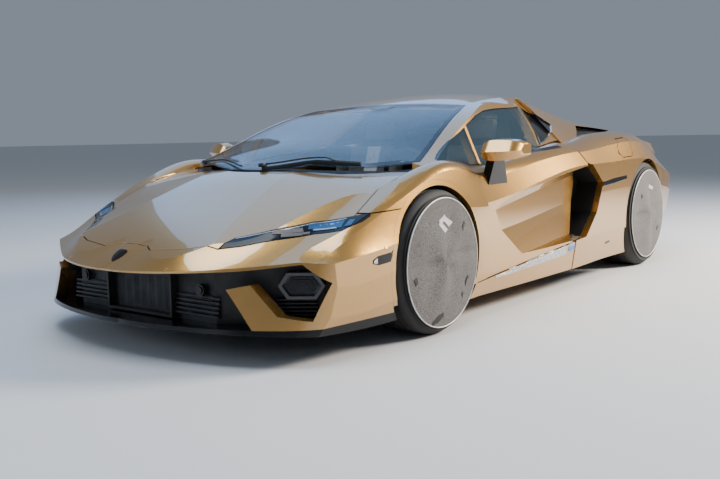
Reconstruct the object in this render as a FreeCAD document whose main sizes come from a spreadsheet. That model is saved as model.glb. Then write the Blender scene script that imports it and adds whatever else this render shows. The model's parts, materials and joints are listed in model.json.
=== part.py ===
"""Mid-engined two-seat supercar, built as an assembly of separate panels, glass, wheels and running gear.

Frame: +Z up, the nose points along -Y, the left side is +X, millimetres, origin on the ground at mid length.
"""
import FreeCAD
import Part
import math
import os

V = FreeCAD.Vector
doc = FreeCAD.newDocument("Supercar")

# Driving dimensions: alias, millimetres or degrees, meaning
SIZES = [
    ("front_overhang", 1158, "nose edge to the front axle"),
    ("wheelbase", 2658, "front axle to rear axle"),
    ("rear_overhang", 890, "rear axle to the tail edge"),
    ("front_track", 1722, "between the centres of the front tyres"),
    ("rear_track", 1670, "between the centres of the rear tyres"),
    ("front_tyre_radius", 343, "front tyre, outside"),
    ("front_tyre_width", 255, "front tyre, wall to wall"),
    ("rear_tyre_radius", 364, "rear tyre, outside"),
    ("rear_tyre_width", 325, "rear tyre, wall to wall"),
    ("front_rim_radius", 258, "front rim, outside of the barrel"),
    ("rear_rim_radius", 271, "rear rim, outside of the barrel"),
    ("rim_wall", 14, "thickness of the rim's barrel"),
    ("wheel_disc", 32, "thickness of the wheel's face"),
    ("hub_radius", 72, "wheel boss and hub flange"),
    ("cover_radius", 308, "round cover over the wheel's face"),
    ("cover_rise", 44, "height of the cover's cone"),
    ("front_arch_radius", 362, "front wheel opening in the flank"),
    ("rear_arch_radius", 384, "rear wheel opening in the flank"),
    ("lip_width", 25, "moulding round each wheel opening"),
    ("liner_radius", 418, "inside of the wheel house, front"),
    ("liner_wall", 6, "wheel house sheet"),
    ("panel_wall", 32, "depth of a body panel with its frame"),
    ("panel_gap", 5, "shut line between panels"),
    ("door_gap", 6, "shut line round a door"),
    ("glass_wall", 6, "glazing thickness"),
    ("roof_wall", 34, "roof panel with its lining"),
    ("door_inner", 812, "centre plane to the inner face of a door"),
    ("hub_depth", 70, "wheel face to the hub flange"),
    ("kingpin_inset", 56, "steering axis inboard of the hub flange"),
    ("floor_height", 112, "ground to the underside"),
    ("floor_wall", 60, "cabin floor"),
    ("seat_half", 386, "centre plane to the middle of a seat"),
    ("steering_wheel_radius", 178, "steering wheel, to the middle of the rim"),
    ("engine_length", 750, "engine block along the car"),
    ("engine_width", 600, "engine block across the car"),
    ("engine_height", 548, "engine block from its sump to the heads"),
    ("gearbox_length", 380, "gearbox behind the engine"),
    ("gearbox_width", 340, "gearbox across the car"),
]

sheet = doc.addObject("Spreadsheet::Sheet", "Sizes")
for row, (alias, value, meaning) in enumerate(SIZES, start=1):
    sheet.set("A%d" % row, str(value))
    sheet.set("B%d" % row, meaning)
    sheet.setAlias("A%d" % row, alias)
doc.recompute()


def size(alias):
    """A driving dimension as a number."""
    return float(sheet.get(alias))


LENGTH = size("front_overhang") + size("wheelbase") + size("rear_overhang")
NOSE = -LENGTH / 2
TAIL = LENGTH / 2
FRONT = NOSE + size("front_overhang")
REAR = FRONT + size("wheelbase")
GAP = size("panel_gap")
DOOR_GAP = size("door_gap")
FAR = 2600
HIGH = 1500
FIT = 0.3


def along(axle, offset):
    """Y of a place given from an axle, F for front and R for rear; the tail's places follow the rear overhang."""
    if axle == "R" and offset > size("rear_arch_radius"):
        near = size("rear_arch_radius")
        offset = near + (offset - near) * (size("rear_overhang") - near) / (890 - near)
    return (FRONT if axle == "F" else REAR) + offset


# The lower body's half sections, from the centre line round to the floor.
# Columns: axle, offset, deck height, then x and z of the hood crease, the hood's edge, the fender crest,
# the shoulder, the waist crease, the flank, the sill and the floor edge.
BODY = [
    ("F", -1230, 345, (500, 323), (620, 305), (760, 290), (850, 275), (905, 258), (908, 240), (900, 190), (880, 138)),
    ("F", -1000, 486, (475, 474), (600, 445), (740, 425), (850, 405), (912, 385), (916, 300), (908, 200), (888, 138)),
    ("F", -750, 592, (388, 580), (650, 527), (800, 478), (880, 444), (930, 422), (935, 320), (926, 200), (902, 126)),
    ("F", -500, 692, (322, 682), (790, 610), (848, 603), (908, 550), (958, 448), (962, 330), (952, 200), (922, 116)),
    ("F", -250, 776, (277, 766), (797, 695), (862, 708), (940, 662), (982, 490), (985, 380), (975, 240), (945, 120)),
    ("F", 0, 782, (300, 779), (812, 754), (872, 792), (948, 752), (985, 560), (988, 420), (978, 240), (948, 120)),
    ("F", 250, 786, (330, 780), (800, 792), (882, 811), (950, 762), (980, 585), (982, 430), (972, 230), (945, 116)),
    ("F", 600, 776, (330, 770), (790, 768), (872, 776), (940, 716), (963, 602), (958, 450), (962, 226), (935, 112)),
    ("F", 1000, 806, (330, 800), (780, 816), (866, 818), (942, 770), (974, 664), (970, 490), (972, 255), (945, 112)),
    ("R", -1258, 862, (330, 856), (760, 866), (862, 862), (950, 812), (985, 726), (985, 530), (984, 290), (958, 116)),
    ("R", -858, 888, (400, 880), (742, 888), (858, 884), (955, 830), (993, 744), (995, 560), (990, 300), (962, 122)),
    ("R", -458, 914, (430, 908), (738, 930), (850, 922), (952, 862), (996, 752), (998, 570), (992, 310), (965, 126)),
    ("R", 0, 914, (450, 908), (725, 932), (842, 924), (948, 858), (996, 745), (998, 570), (990, 320), (960, 140)),
    ("R", 392, 896, (470, 888), (705, 902), (800, 872), (892, 772), (962, 672), (966, 540), (950, 340), (905, 190)),
    ("R", 692, 807, (480, 800), (680, 790), (770, 748), (850, 690), (915, 620), (915, 500), (895, 350), (850, 240)),
    ("R", 890, 716, (480, 710), (664, 690), (744, 658), (806, 616), (856, 566), (856, 466), (838, 350), (800, 280)),
]

# The cabin and the rear deck's half sections.
# Columns: axle, offset, crown height, then x and z of the screen's edge, the pillar and the belt.
CABIN = [
    ("F", -290, 772, (560, 745), (640, 735), (700, 725)),
    ("F", 0, 858, (662, 790), (770, 772), (830, 756)),
    ("F", 130, 900, (795, 803), (850, 790), (880, 776)),
    ("F", 290, 944, (747, 868), (802, 852), (876, 776)),
    ("F", 550, 1020, (684, 986), (750, 970), (872, 772)),
    ("F", 770, 1078, (626, 1063), (700, 1052), (868, 786)),
    ("F", 950, 1122, (570, 1106), (640, 1098), (862, 806)),
    ("F", 1200, 1172, (536, 1142), (608, 1120), (852, 842)),
    ("R", -1208, 1200, (520, 1160), (600, 1106), (838, 864)),
    ("R", -930, 1190, (510, 1148), (600, 1076), (812, 882)),
    ("R", -658, 1128, (520, 1084), (604, 1022), (792, 902)),
    ("R", -308, 1038, (570, 1010), (680, 974), (780, 932)),
    ("R", 142, 978, (610, 960), (700, 940), (770, 922)),
    ("R", 542, 930, (630, 914), (700, 892), (758, 848)),
    ("R", 860, 888, (630, 872), (706, 842), (742, 770)),
]

# The nose across the car: x, then y from the front axle and z of the lip, the beak's edge and the hood's edge.
NOSE_LINES = [
    (0, (-1095, 112), (-1158, 387), (-1078, 447)),
    (200, (-1092, 112), (-1152, 391), (-1073, 447)),
    (400, (-1062, 112), (-1091, 398), (-1014, 470)),
    (600, (-1010, 112), (-978, 411), (-800, 508)),
    (800, (-905, 112), (-850, 431), (-564, 560)),
    (900, (-800, 112), (-772, 444), (-440, 606)),
    (965, (-640, 112), (-600, 464), (-260, 640)),
    (1015, (-330, 112), (-300, 484), (0, 700)),
]


def segment(a, b):
    return Part.LineSegment(a, b).toShape()


def arc(a, m, b):
    return Part.Arc(a, m, b).toShape()


def chain(points):
    return [segment(a, b) for a, b in zip(points, points[1:])]


def crown(y, height, edge):
    """Half of a shallow arch, level at the centre line."""
    drop = (height - edge.z) / 4
    return arc(V(0, y, height), V(edge.x / 2, y, height - drop), edge)


def body_section(row, side=0, down=0):
    """Left half section of the lower body: crowned deck and round crest, or straight and open below inside."""
    axle, offset, deck, *line = row
    y = along(axle, offset)
    points = [V(x - side, y, z - down) for x, z in line]
    if side:
        points[-1] = V(points[-1].x, y, line[-1][1] - 60)
        top = V(0, y, deck - down * 1.5)
        return Part.makePolygon([top] + points + [V(0, y, points[-1].z), top])
    foot = V(0, y, points[-1].z)
    edges = [crown(y, deck, points[0]), segment(points[0], points[1]), arc(points[1], points[2], points[3])]
    return Part.Wire(edges + chain(points[3:] + [foot, V(0, y, deck)]))


def cabin_section(row, side=0, down=0):
    """Left half section of the cabin: the crown is an arc and the side glass flat."""
    axle, offset, height, *line = row
    y = along(axle, offset)
    points = [V(x - side, y, z - down) for x, z in line]
    foot = V(points[-1].x, y, 600 - down)
    top = V(0, y, height - down)
    edges = [crown(y, height - down, points[0])]
    return Part.Wire(edges + chain(points + [foot, V(0, y, foot.z), top]))


def nose_section(line, back=0, down=0):
    """Section of the block that trims the nose: lip, beak and the slope up to the hood's edge."""
    x, lip, beak, hood = line
    rise = (hood[1] - beak[1]) / (hood[0] - beak[0])
    reach = 900
    outline = [(lip[0], lip[1] - 60), (lip[0], lip[1]), beak, hood, (hood[0] + reach, hood[1] + reach * rise)]
    points = [V(x, FRONT + y + back, z - down) for y, z in outline]
    points += [V(x, TAIL + 400, points[-1].z), V(x, TAIL + 400, points[0].z)]
    return Part.makePolygon(points + points[:1])


def loft(wires, straight=False):
    return Part.makeLoft(wires, True, straight, False, 3)


def mirrored(shape):
    return shape.mirror(V(0, 0, 0), V(1, 0, 0))


def pair(shape):
    """The left piece with its right twin, as solids that do not touch."""
    return Part.makeCompound(shape.Solids + mirrored(shape).Solids)


def whole(half):
    """A piece that crosses the centre line, from its left half."""
    return half.fuse(mirrored(half)).removeSplitter()


def biggest(shape):
    """The largest solid of a cut, without its slivers."""
    return max(shape.Solids, key=lambda solid: solid.Volume)


def zone(points, grow):
    """The outline with every side moved out by grow, or in when grow is below zero."""
    area = sum(a[0] * b[1] - b[0] * a[1] for a, b in zip(points, points[1:] + points[:1]))
    shift = grow if area > 0 else -grow
    moved = []
    for before, at, after in zip(points[-1:] + points[:-1], points, points[1:] + points[:1]):
        ux, uy = at[0] - before[0], at[1] - before[1]
        vx, vy = after[0] - at[0], after[1] - at[1]
        u, v = math.hypot(ux, uy), math.hypot(vx, vy)
        ax, ay, bx, by = uy / u, -ux / u, vy / v, -vx / v
        turn = 1 + ax * bx + ay * by
        moved.append((at[0] + shift * (ax + bx) / turn, at[1] + shift * (ay + by) / turn))
    return moved


def top_prism(points, low=0, high=HIGH):
    """Upright block over an outline of (x, y) points."""
    face = Part.Face(Part.makePolygon([V(x, y, low) for x, y in points + points[:1]]))
    return face.extrude(V(0, 0, high - low))


def side_prism(points, inner=0, outer=1300, lean=0):
    """Block across the car over an outline of (y, z) points; lean moves its outer end to the rear."""
    face = Part.Face(Part.makePolygon([V(inner, y, z) for y, z in points + points[:1]]))
    return face.extrude(V(outer - inner, lean, 0))


def front_prism(points, start, end):
    """Block along the car over an outline of (x, z) points."""
    face = Part.Face(Part.makePolygon([V(x, start, z) for x, z in points + points[:1]]))
    return face.extrude(V(0, end - start, 0))


def block(x0, x1, y0, y1, z0, z1):
    return Part.makeBox(x1 - x0, y1 - y0, z1 - z0, V(x0, y0, z0))


def bar_x(radius, x0, x1, y, z):
    """A round bar along X."""
    return Part.makeCylinder(radius, x1 - x0, V(x0, y, z), V(1, 0, 0))


def plan(points):
    """Outline points (x, offset from the front axle) as (x, y)."""
    return [(x, FRONT + y) for x, y in points]


def side(points):
    """Outline points (axle, offset, z) as (y, z)."""
    return [(along(axle, offset), z) for axle, offset, z in points]


# Shut lines in plan: x, offset from the front axle.
HOOD_FRONT = [(0, -1010), (105, -1009), (141, -1031), (160, -1040), (336, -1008)]
LAMP_TOP = [(483, -945), (497, -852), (616, -706), (703, -585), (817, -491), (842, -476)]
HOOD_SIDE = [(803, -226), (806, 0), (790, 40)]
SCREEN_BASE = [(700, 39), (600, -52), (500, -125), (400, -158), (300, -201), (200, -230), (100, -262), (0, -270)]
LAMP_FOOT = [(903, -434), (894, -491), (862, -583), (820, -611), (760, -652), (630, -780), (550, -878)]
SCREEN_TOP = [(0, 985), (300, 975), (556, 938)]
COWL = 16

# Shut lines in side view: axle, offset, z.
FENDER_SIDE = [("F", -520, 603), ("F", -440, 608), ("F", -120, 626), ("F", -60, 560), ("F", -60, 60),
               ("F", 480, 60), ("F", 480, 573), ("F", 474, 705), ("F", 474, 760), ("F", 474, 1000),
               ("F", -520, 1000)]
DOOR_SIDE = [("F", 467, 203), ("F", 467, 573), ("F", 407, 705), ("F", 397, 760), ("F", 397, 1000),
             ("R", -1120, 1000), ("R", -1116, 872), ("R", -1018, 757), ("R", -968, 640), ("R", -1098, 330),
             ("R", -1228, 287)]
QUARTER_END = 420
QUARTER_SIDE = [("R", -1130, 1000), ("R", -1126, 872), ("R", -1028, 757), ("R", -940, 740), ("R", -778, 622),
                ("R", -868, 440), ("R", -1018, 300), ("R", -1160, 291), ("R", -1160, 60), ("R", QUARTER_END, 60),
                ("R", QUARTER_END, 1000)]
SILL_SIDE = [("F", 372, 60), ("F", 372, 190), ("F", 462, 197), ("R", -1228, 281), ("R", -1166, 285),
             ("R", -1166, 60)]
GLASS_SIDE = [("F", 578, 700), ("F", 572, 780), ("F", 624, 985), ("F", 783, 1035), ("F", 945, 1065),
              ("F", 1121, 1080), ("F", 1311, 1088), ("R", -1180, 1096), ("R", -1385, 850), ("R", -1385, 700)]
QUARTERLIGHT_SIDE = [("F", 200, 700), ("F", 200, 818), ("F", 400, 905), ("F", 592, 974), ("F", 548, 780),
                     ("F", 548, 700)]
FLAP_SIDE = [("R", -474, 800), ("R", -474, 834), ("R", -418, 888), ("R", -275, 896), ("R", -250, 874),
             ("R", -262, 800), ("R", -290, 776), ("R", -440, 772)]
REAR_WINDOW_SIDE = [("R", -1130, 1103), ("R", -885, 992), ("R", -1080, 922), ("R", -1325, 872)]
SAIL_SIDE = [("R", -1345, 800), ("R", -1345, 868), ("R", -1325, 872), ("R", -1080, 922), ("R", -885, 992),
             ("R", -885, 800)]
BUTTRESS_SIDE = [("R", -470, 984), ("R", 60, 950), ("R", -720, 905)]

hood_edge = plan(HOOD_FRONT + LAMP_TOP + HOOD_SIDE)
hood_edge += [(x, y - COWL) for x, y in plan(SCREEN_BASE)]
lamp_edge = plan(LAMP_TOP + LAMP_FOOT)

WALL = size("panel_wall")
front_body = loft([body_section(row) for row in BODY[:8]])
front_skin = front_body.common(loft([nose_section(line) for line in NOSE_LINES]))
front_core = loft([body_section(row, WALL + 8, WALL - 6) for row in BODY[:8]], True)
front_core = front_core.common(loft([nose_section(line, WALL + 14, WALL - 12) for line in NOSE_LINES], True))
middle_skin = loft([body_section(row) for row in BODY[6:12]])
rear_skin = loft([body_section(row) for row in BODY[9:]])
rear_core = loft([body_section(row, WALL + 8, WALL) for row in BODY[9:]], True)
cabin_front = loft([cabin_section(row) for row in CABIN[:10]])
cabin_rear = loft([cabin_section(row) for row in CABIN[8:]])
cabin_core = loft([cabin_section(row, size("roof_wall"), size("roof_wall")) for row in CABIN[:10]])
buttress_core = loft([cabin_section(row, size("roof_wall") * 3, size("roof_wall")) for row in CABIN[8:]])
glass_core = loft([cabin_section(row, size("glass_wall"), size("glass_wall")) for row in CABIN[:10]])

# Hinge axes and pins: (y, z) for the lids, (x, y) for the doors and the fuel flap.
HOOD_AXIS = (FRONT + 46, 752)
HOOD_PIN = 4
HOOD_PIN_X = 742
HOOD_KNUCKLE = 28
HOOD_TURN = 42
COVER_AXIS = (REAR - 927, 1183)
COVER_PIN = 3.5
DOOR_AXIS = (966, FRONT + 464)
DOOR_PIN = 3.4
FLAP_AXIS = (963, REAR - 478)
FLAP_PIN = 2.4
FLAP_PIN_Z = 805
FLAP_KNUCKLE = 24
FLAP_TURN = 75
KING_PIN = 9
STEER_Y = FRONT + 640
STEER_Z = 690
STEER_TILT = 22
SPLIT_TOP = 160
GRILLE_Y = FRONT - 930

nodes = {}


def keep(name, shape):
    """A sub-part whose form the sheet drives through the functions above."""
    obj = doc.addObject("Part::Feature", name)
    obj.Shape = shape
    obj.Label = name
    nodes[name] = obj
    return obj


def front_arch(grow=0):
    return bar_x(size("front_arch_radius") + grow, 300, 1300, FRONT, size("front_tyre_radius"))


def rear_arch(grow=0):
    return bar_x(size("rear_arch_radius") + grow, 300, 1300, REAR, size("rear_tyre_radius"))


def closed_over_centre(line, past=60):
    """An outline whose first and last points lie on the centre line, carried past it for a clean mirror seam."""
    return line + [(-past, line[-1][1]), (-past, line[0][1])]


def make_hood():
    half = front_skin.common(top_prism(zone(closed_over_centre(hood_edge, 9), -GAP / 2), 300))
    lid = biggest(half.common(block(0, 1200, NOSE, 0, 300, 900)).cut(front_core))
    return whole(lid.fuse(hood_knuckle(0)))


def hood_knuckle(grow):
    """The hood's hinge knuckle with its web, or the room for it."""
    end = HOOD_PIN_X + HOOD_KNUCKLE + grow
    pin = bar_x(HOOD_PIN + grow, HOOD_PIN_X - grow, end, HOOD_AXIS[0], HOOD_AXIS[1])
    web = block(HOOD_PIN_X - grow, end, HOOD_AXIS[0] - 22, HOOD_AXIS[0],
                HOOD_AXIS[1] - HOOD_PIN - grow, HOOD_AXIS[1] + HOOD_PIN + grow)
    return pin.fuse(web)


def make_headlamps():
    """Slim lenses with the housing that sits behind the bumper's edge."""
    lamp = front_skin.common(top_prism(zone(lamp_edge, -GAP / 2), 380)).cut(front_core)
    housing = front_core.common(top_prism(zone(lamp_edge, 20), 380)).cut(front_core.translated(V(0, 0, -30)))
    housing = housing.cut(top_prism(zone(closed_over_centre(hood_edge), 8), 300))
    return pair(biggest(biggest(lamp).fuse(housing).cut(nodes["front_grille"].Shape)))


def without_front(region):
    region = region.cut(top_prism(zone(closed_over_centre(hood_edge), GAP / 2), 300))
    return region.cut(top_prism(zone(lamp_edge, GAP / 2), 380))


def make_fenders():
    region = without_front(front_skin.common(side_prism(side(FENDER_SIDE), 600)))
    inner_edge = plan([(400, -300), (784, -300), (784, 40), (772, 54), (800, 122), (842, 170), (850, 290),
                       (855, 480), (400, 480)])
    region = region.cut(top_prism(inner_edge, 300)).cut(front_core).cut(door_prism(DOOR_GAP))
    region = region.cut(sill_prism(GAP)).cut(front_arch(size("lip_width") + 1))
    hood_corner = block(778, 793, FRONT + 35, FRONT + 49, 759, 766)
    return pair(biggest(region.cut(door_knuckles(FIT)).cut(hood_corner)))


def make_bumper():
    region = front_skin.cut(front_core).common(block(0, 1200, NOSE - 50, FRONT - 62, SPLIT_TOP + FIT, 900))
    region = without_front(region).cut(side_prism(zone(side(FENDER_SIDE), GAP), 500))
    mouth = [(-5, SPLIT_TOP - 5), (690, SPLIT_TOP - 5), (577, 324), (666, 343), (774, 216), (884, 193), (928, 346),
             (842, 425), (684, 405), (600, 397), (400, 389), (200, 382), (-5, 378)]
    region = region.cut(front_prism(mouth, NOSE - 100, FRONT - 480)).cut(front_arch(size("lip_width") + 1))
    return whole(biggest(region))


def make_splitter():
    region = front_skin.common(block(0, 1200, NOSE - 50, FRONT - 300, 60, SPLIT_TOP))
    region = region.cut(block(-10, 465 + FIT, GRILLE_Y, FRONT, 60, 200)).cut(front_arch(20))
    return whole(biggest(region.cut(block(465, 760, FRONT - 780, FRONT, 60, 200))))


def make_arch_lips():
    """Mouldings round the wheel openings."""
    made = []
    width = size("lip_width")
    fronts = (front_skin, front_core, front_arch, 190)
    rears = (rear_skin, rear_core, rear_arch, 300)
    for skin, core, arch, floor in (fronts, rears):
        ring = skin.common(arch(width).cut(arch(0))).common(block(700, 1200, -FAR, FAR, floor, HIGH))
        made += pair(biggest(ring.cut(core))).Solids
    return Part.makeCompound(made)


def make_front_grille():
    """Black back of the mouth: wall, centre frame, upright ribs beside it and slats under the corner lamps."""
    panel = block(0, 470, GRILLE_Y - 24, GRILLE_Y, SPLIT_TOP + FIT, 400)
    corner = Part.makePolygon([V(x, y, SPLIT_TOP + FIT) for x, y in
                               plan([(470, -954), (880, -664), (880, -640), (470, -930), (470, -954)])])
    wall = panel.fuse(Part.Face(corner).extrude(V(0, 0, 290))).common(front_core)
    frame = block(0, 226, GRILLE_Y - 60, GRILLE_Y - 24, 166, 368)
    frame = frame.cut(block(-5, 214, GRILLE_Y - 70, GRILLE_Y - 24, 178, 358))
    ribs = []
    for step, z in enumerate(range(190, 270, 19)):
        ribs.append(block(220, 500, GRILLE_Y - 44 + step * 3, GRILLE_Y - 24, z, z + 9))
    slats = []
    for z in range(186, 268, 16):
        slat = block(0, 168, -34, 6, z, z + 6)
        slat.rotate(V(0, 0, 0), V(0, 0, 1), CORNER_TURN)
        slats.append(slat.translated(V(686, FRONT - 804, 0)))
    return whole(wall.fuse([frame] + ribs + slats))


CORNER_TURN = math.degrees(math.atan2(290, 410))


def make_corner_lamps():
    """Six-sided day lamps in the mouth's corners, each a dished cup on the grille's wall."""
    def six(half, rise):
        return [(-half, 0), (-half * 0.62, rise), (half * 0.62, rise), (half, 0), (half * 0.62, -rise),
                (-half * 0.62, -rise)]
    cup = front_prism(six(98, 55), -62, 4)
    cup = cup.cut(front_prism(six(82, 43), -70, -30))
    cup.rotate(V(0, 0, 0), V(0, 0, 1), CORNER_TURN)
    x = 771
    place = V(x, FRONT - 664 - (880 - x) * 290 / 410, 330)
    return pair(biggest(cup.translated(place).cut(nodes["front_grille"].Shape)))


def door_prism(grow=0):
    """Block over the door; its inner end sits further forward, so that the door swings clear of the rear quarter."""
    lean = 30
    reach = 1100 - size("door_inner")
    outline = [(y - lean * 0.55, z) for y, z in zone(side(DOOR_SIDE), grow)]
    slope = lean / reach
    start = size("door_inner") - grow
    outline = [(y - grow * slope, z) for y, z in outline]
    return side_prism(outline, start, 1100, lean * (1100 - start) / reach)


def door_knuckles(grow):
    """Hinge knuckles in the door's front shut line, or the room for them."""
    x, y = DOOR_AXIS
    pins = [Part.makeCylinder(DOOR_PIN + grow, 50 + grow * 2, V(x, y, z - grow)) for z in (300, 520)]
    return pins[0].fuse(pins[1])


# The hollow in the door's side that leads air to the intake.
# Columns: offset from the front axle, x of the floor, z of its upper and lower edge.
SCOOP = [
    (500, 968, 600, 262), (700, 948, 624, 262), (980, 932, 660, 270), (1260, 913, 695, 286),
    (1520, 893, 722, 300), (1790, 872, 750, 306),
]


def make_door():
    region = middle_skin.common(door_prism())
    wires = []
    for offset, depth, high, low in SCOOP:
        y = FRONT + offset
        points = [V(1100, y, high + 30), V(depth + 14, y, high - 24), V(depth, y, high - 60),
                  V(depth + 4, y, (high + low) / 2), V(depth + 26, y, low + 24), V(1100, y, low - 50)]
        wires.append(Part.makePolygon(points + points[:1]))
    foot = block(800, 856, FRONT + 435, FRONT + 519, 190, 209.5)
    return biggest(biggest(region.cut(loft(wires)).cut(foot)).fuse(door_knuckles(0)))


def door_sweep():
    """Room for the door's upper front corner, which passes the quarterlight's foot as the door opens."""
    return block(845, 900, FRONT + 495, FRONT + 560, 700, 787)


def sill_prism(grow):
    return side_prism(zone(side(SILL_SIDE), grow), 800)


def make_sills():
    region = middle_skin.common(sill_prism(-GAP / 2)).cut(front_arch(size("lip_width") + 1))
    return pair(biggest(region.cut(door_prism(DOOR_GAP))))


def make_quarters():
    lower = rear_skin.common(side_prism(side(QUARTER_SIDE), 500)).cut(rear_core)
    lower = lower.cut(block(0, 715, -FAR, FAR, 600, 1200)).cut(rear_arch(size("lip_width") + 1))
    lower = lower.cut(door_prism(DOOR_GAP)).cut(sill_prism(GAP / 2))
    corner = block(480, 560, REAR - 1028, REAR - 930, 860, 1300).cut(roof_prism(GAP / 2))
    upper = block(558, 1200, REAR - 1028, along("R", QUARTER_END) - GAP, 860, 1300).fuse(corner)
    upper = cabin_rear.cut(buttress_core).common(upper)
    sail = cabin_front.cut(cabin_core).common(side_prism(side(SAIL_SIDE), 650))
    sail = sail.cut(block(0, 1200, REAR - 1028, FAR, 0, HIGH))
    upper = upper.fuse(sail.cut(middle_skin.translated(V(0, 0, DOOR_GAP))))
    upper = upper.cut(side_prism(side(REAR_WINDOW_SIDE), 400)).cut(side_prism(side(BUTTRESS_SIDE), 400))
    panel = biggest(lower.fuse(upper))
    left = panel.cut(flap_prism(GAP)).cut(flap_knuckle(FIT))
    edge = nodes["fuel_flap"].Shape.common(block(900, 1100, REAR - 500, REAR - 430, 700, 900))
    for share in range(2, 13):
        swung = edge.copy()
        swung.rotate(V(*FLAP_AXIS, 0), V(0, 0, -1), FLAP_TURN * share / 12)
        left = left.cut(swung)
    return Part.makeCompound([biggest(left), mirrored(panel)])


def flap_prism(grow):
    return side_prism(zone(side(FLAP_SIDE), grow), 700)


def flap_knuckle(grow):
    """The fuel flap's hinge knuckle with its web, or the room for it."""
    x, y = FLAP_AXIS
    low, high = FLAP_PIN_Z - grow, FLAP_PIN_Z + FLAP_KNUCKLE + grow
    pin = Part.makeCylinder(FLAP_PIN + grow, high - low, V(x, y, low))
    return pin.fuse(block(x - FLAP_PIN - grow, x + FLAP_PIN + grow, y, y + 6, low, high))


def make_fuel_flap():
    lid = rear_skin.common(flap_prism(0)).cut(rear_skin.translated(V(-14, 0, -6)))
    return biggest(biggest(lid).fuse(flap_knuckle(0)))


def make_rear_bumper():
    start = along("R", QUARTER_END) + GAP
    shell = rear_skin.cut(rear_core).common(block(0, 1200, start, TAIL + 50, 300, 900))
    return whole(biggest(shell.cut(rear_arch(size("lip_width") + 1))))


def make_rear_grille():
    """Black wall inside the tail with two exhaust openings, upright ribs and a centre frame."""
    wall = rear_core.common(block(0, 1200, TAIL - 70, TAIL - 40, DIFFUSER_TOP + FIT, 900))
    wall = wall.cut(Part.makeCylinder(EXHAUST_RADIUS + FIT, 80, V(EXHAUST_X, TAIL - 90, EXHAUST_Z), V(0, 1, 0)))
    ribs = [block(x, x + 12, TAIL - 40, TAIL - 18, DIFFUSER_TOP + 20, 440) for x in range(250, 760, 40)]
    return whole(wall.fuse(ribs))


def make_spoiler():
    """Body-coloured tail wing that closes the engine deck."""
    place = block(0, 1200, REAR + 612, TAIL, 700, 1300)
    place = place.fuse(block(558, 1200, along("R", QUARTER_END), REAR + 620, 700, 1300))
    wing = cabin_rear.common(place).cut(buttress_core.translated(V(0, 0, -6)))
    wing = wing.cut(block(0, 700, REAR + 640, TAIL, 700, 838))
    return whole(biggest(wing.cut(rear_skin)))


def make_engine_cover():
    region = cabin_rear.common(block(0, 552, REAR - 922, REAR + 606, 700, 1300))
    lid = region.cut(buttress_core.translated(V(0, 0, 6))).cut(block(0, 552, -FAR, FAR, 700, 820))
    lid = lid.cut(louvre_window(0))
    return whole(biggest(lid).fuse(cover_knuckle(0)))


def louvre_window(shrink):
    """The opening in the engine cover that the louvres fill."""
    front, rear = REAR - 700, REAR + 60
    return top_prism([(-20, front), (360 - shrink, front), (300 - shrink, rear), (-20, rear)], 700)


def cover_knuckle(grow):
    y, z = COVER_AXIS
    web = block(70 - grow, 150 + grow, y, y + 8, z - COVER_PIN - grow, z + COVER_PIN + grow)
    return bar_x(COVER_PIN + grow, 70 - grow, 150 + grow, y, z).fuse(web)


def make_louvres():
    """Slats that fill the engine cover's window, with a frame that touches its edge."""
    slats = []
    for count in range(7):
        start = REAR - 700 + count * 112
        slats.append(block(-20, 400, start, start + 78, 700, 1300))
    slats.append(block(-20, 14, REAR - 700, REAR + 60, 700, 1300))
    bars = slats[0].fuse(slats[1:])
    sheet_form = cabin_rear.translated(V(0, 0, -14)).cut(buttress_core)
    return whole(biggest(sheet_form.common(louvre_window(FIT)).common(bars)))


def screen_prism(grow):
    """Upright block over the windscreen, closed across the centre line."""
    line = plan(SCREEN_TOP + [(614, 770), (672, 550), (735, 290), (778, 130)] + SCREEN_BASE)
    line = [(-60, line[0][1])] + line[1:-1] + [(-60, line[-1][1])]
    return top_prism(zone(line, grow), 500)


def make_windscreen():
    glass = cabin_front.common(screen_prism(0)).common(block(0, 1200, -FAR, FAR, 600, 1300))
    return whole(biggest(glass.cut(glass_core).cut(front_body)))


def make_cowl():
    """Black panel under the windscreen's lower edge, behind the hood."""
    front = [(x, y - COWL) for x, y in plan([(778, 45)] + SCREEN_BASE)]
    back = plan([(0, -190), (300, -120), (500, -40), (640, 60), (720, 150), (798, 118), (770, 50)])
    sunk = front_body.translated(V(0, 0, -5))
    outline = [(-60, front[-1][1]), (-60, back[0][1])] + back[1:] + front[:-1]
    panel = sunk.common(top_prism(zone(outline, -3), 600))
    panel = panel.cut(front_core.translated(V(0, 0, -8)))
    pocket = block(HOOD_PIN_X - 5, HOOD_PIN_X + HOOD_KNUCKLE + 5, FRONT, HOOD_AXIS[0], 700, 800)
    panel = panel.cut(hood_knuckle(FIT)).cut(pocket)
    beside = plan([(768, 20), (768, 56), (797, 124), (842, 174), (1100, 174), (1100, 20)])
    panel = panel.cut(top_prism(beside, 300))
    corner = nodes["hood"].Shape.common(block(560, 840, FRONT - 90, FRONT + 90, 700, 840))
    for share in range(2, 13):
        swung = corner.copy()
        swung.rotate(V(0, *HOOD_AXIS), V(-1, 0, 0), HOOD_TURN * share / 12)
        panel = panel.cut(swung)
    return whole(biggest(panel))


def roof_prism(grow):
    """Upright block over the roof panel."""
    line = plan([(-60, 985), (300, 975), (536, 942)]) + [(500, REAR - 930), (-60, REAR - 930)]
    return top_prism(zone(line, grow), 900)


def make_roof():
    region = cabin_front.common(roof_prism(-FIT)).common(block(0, 1200, -FAR, FAR, 900, 1300))
    return whole(biggest(region.cut(cabin_core).cut(cover_knuckle(FIT))))


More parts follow.
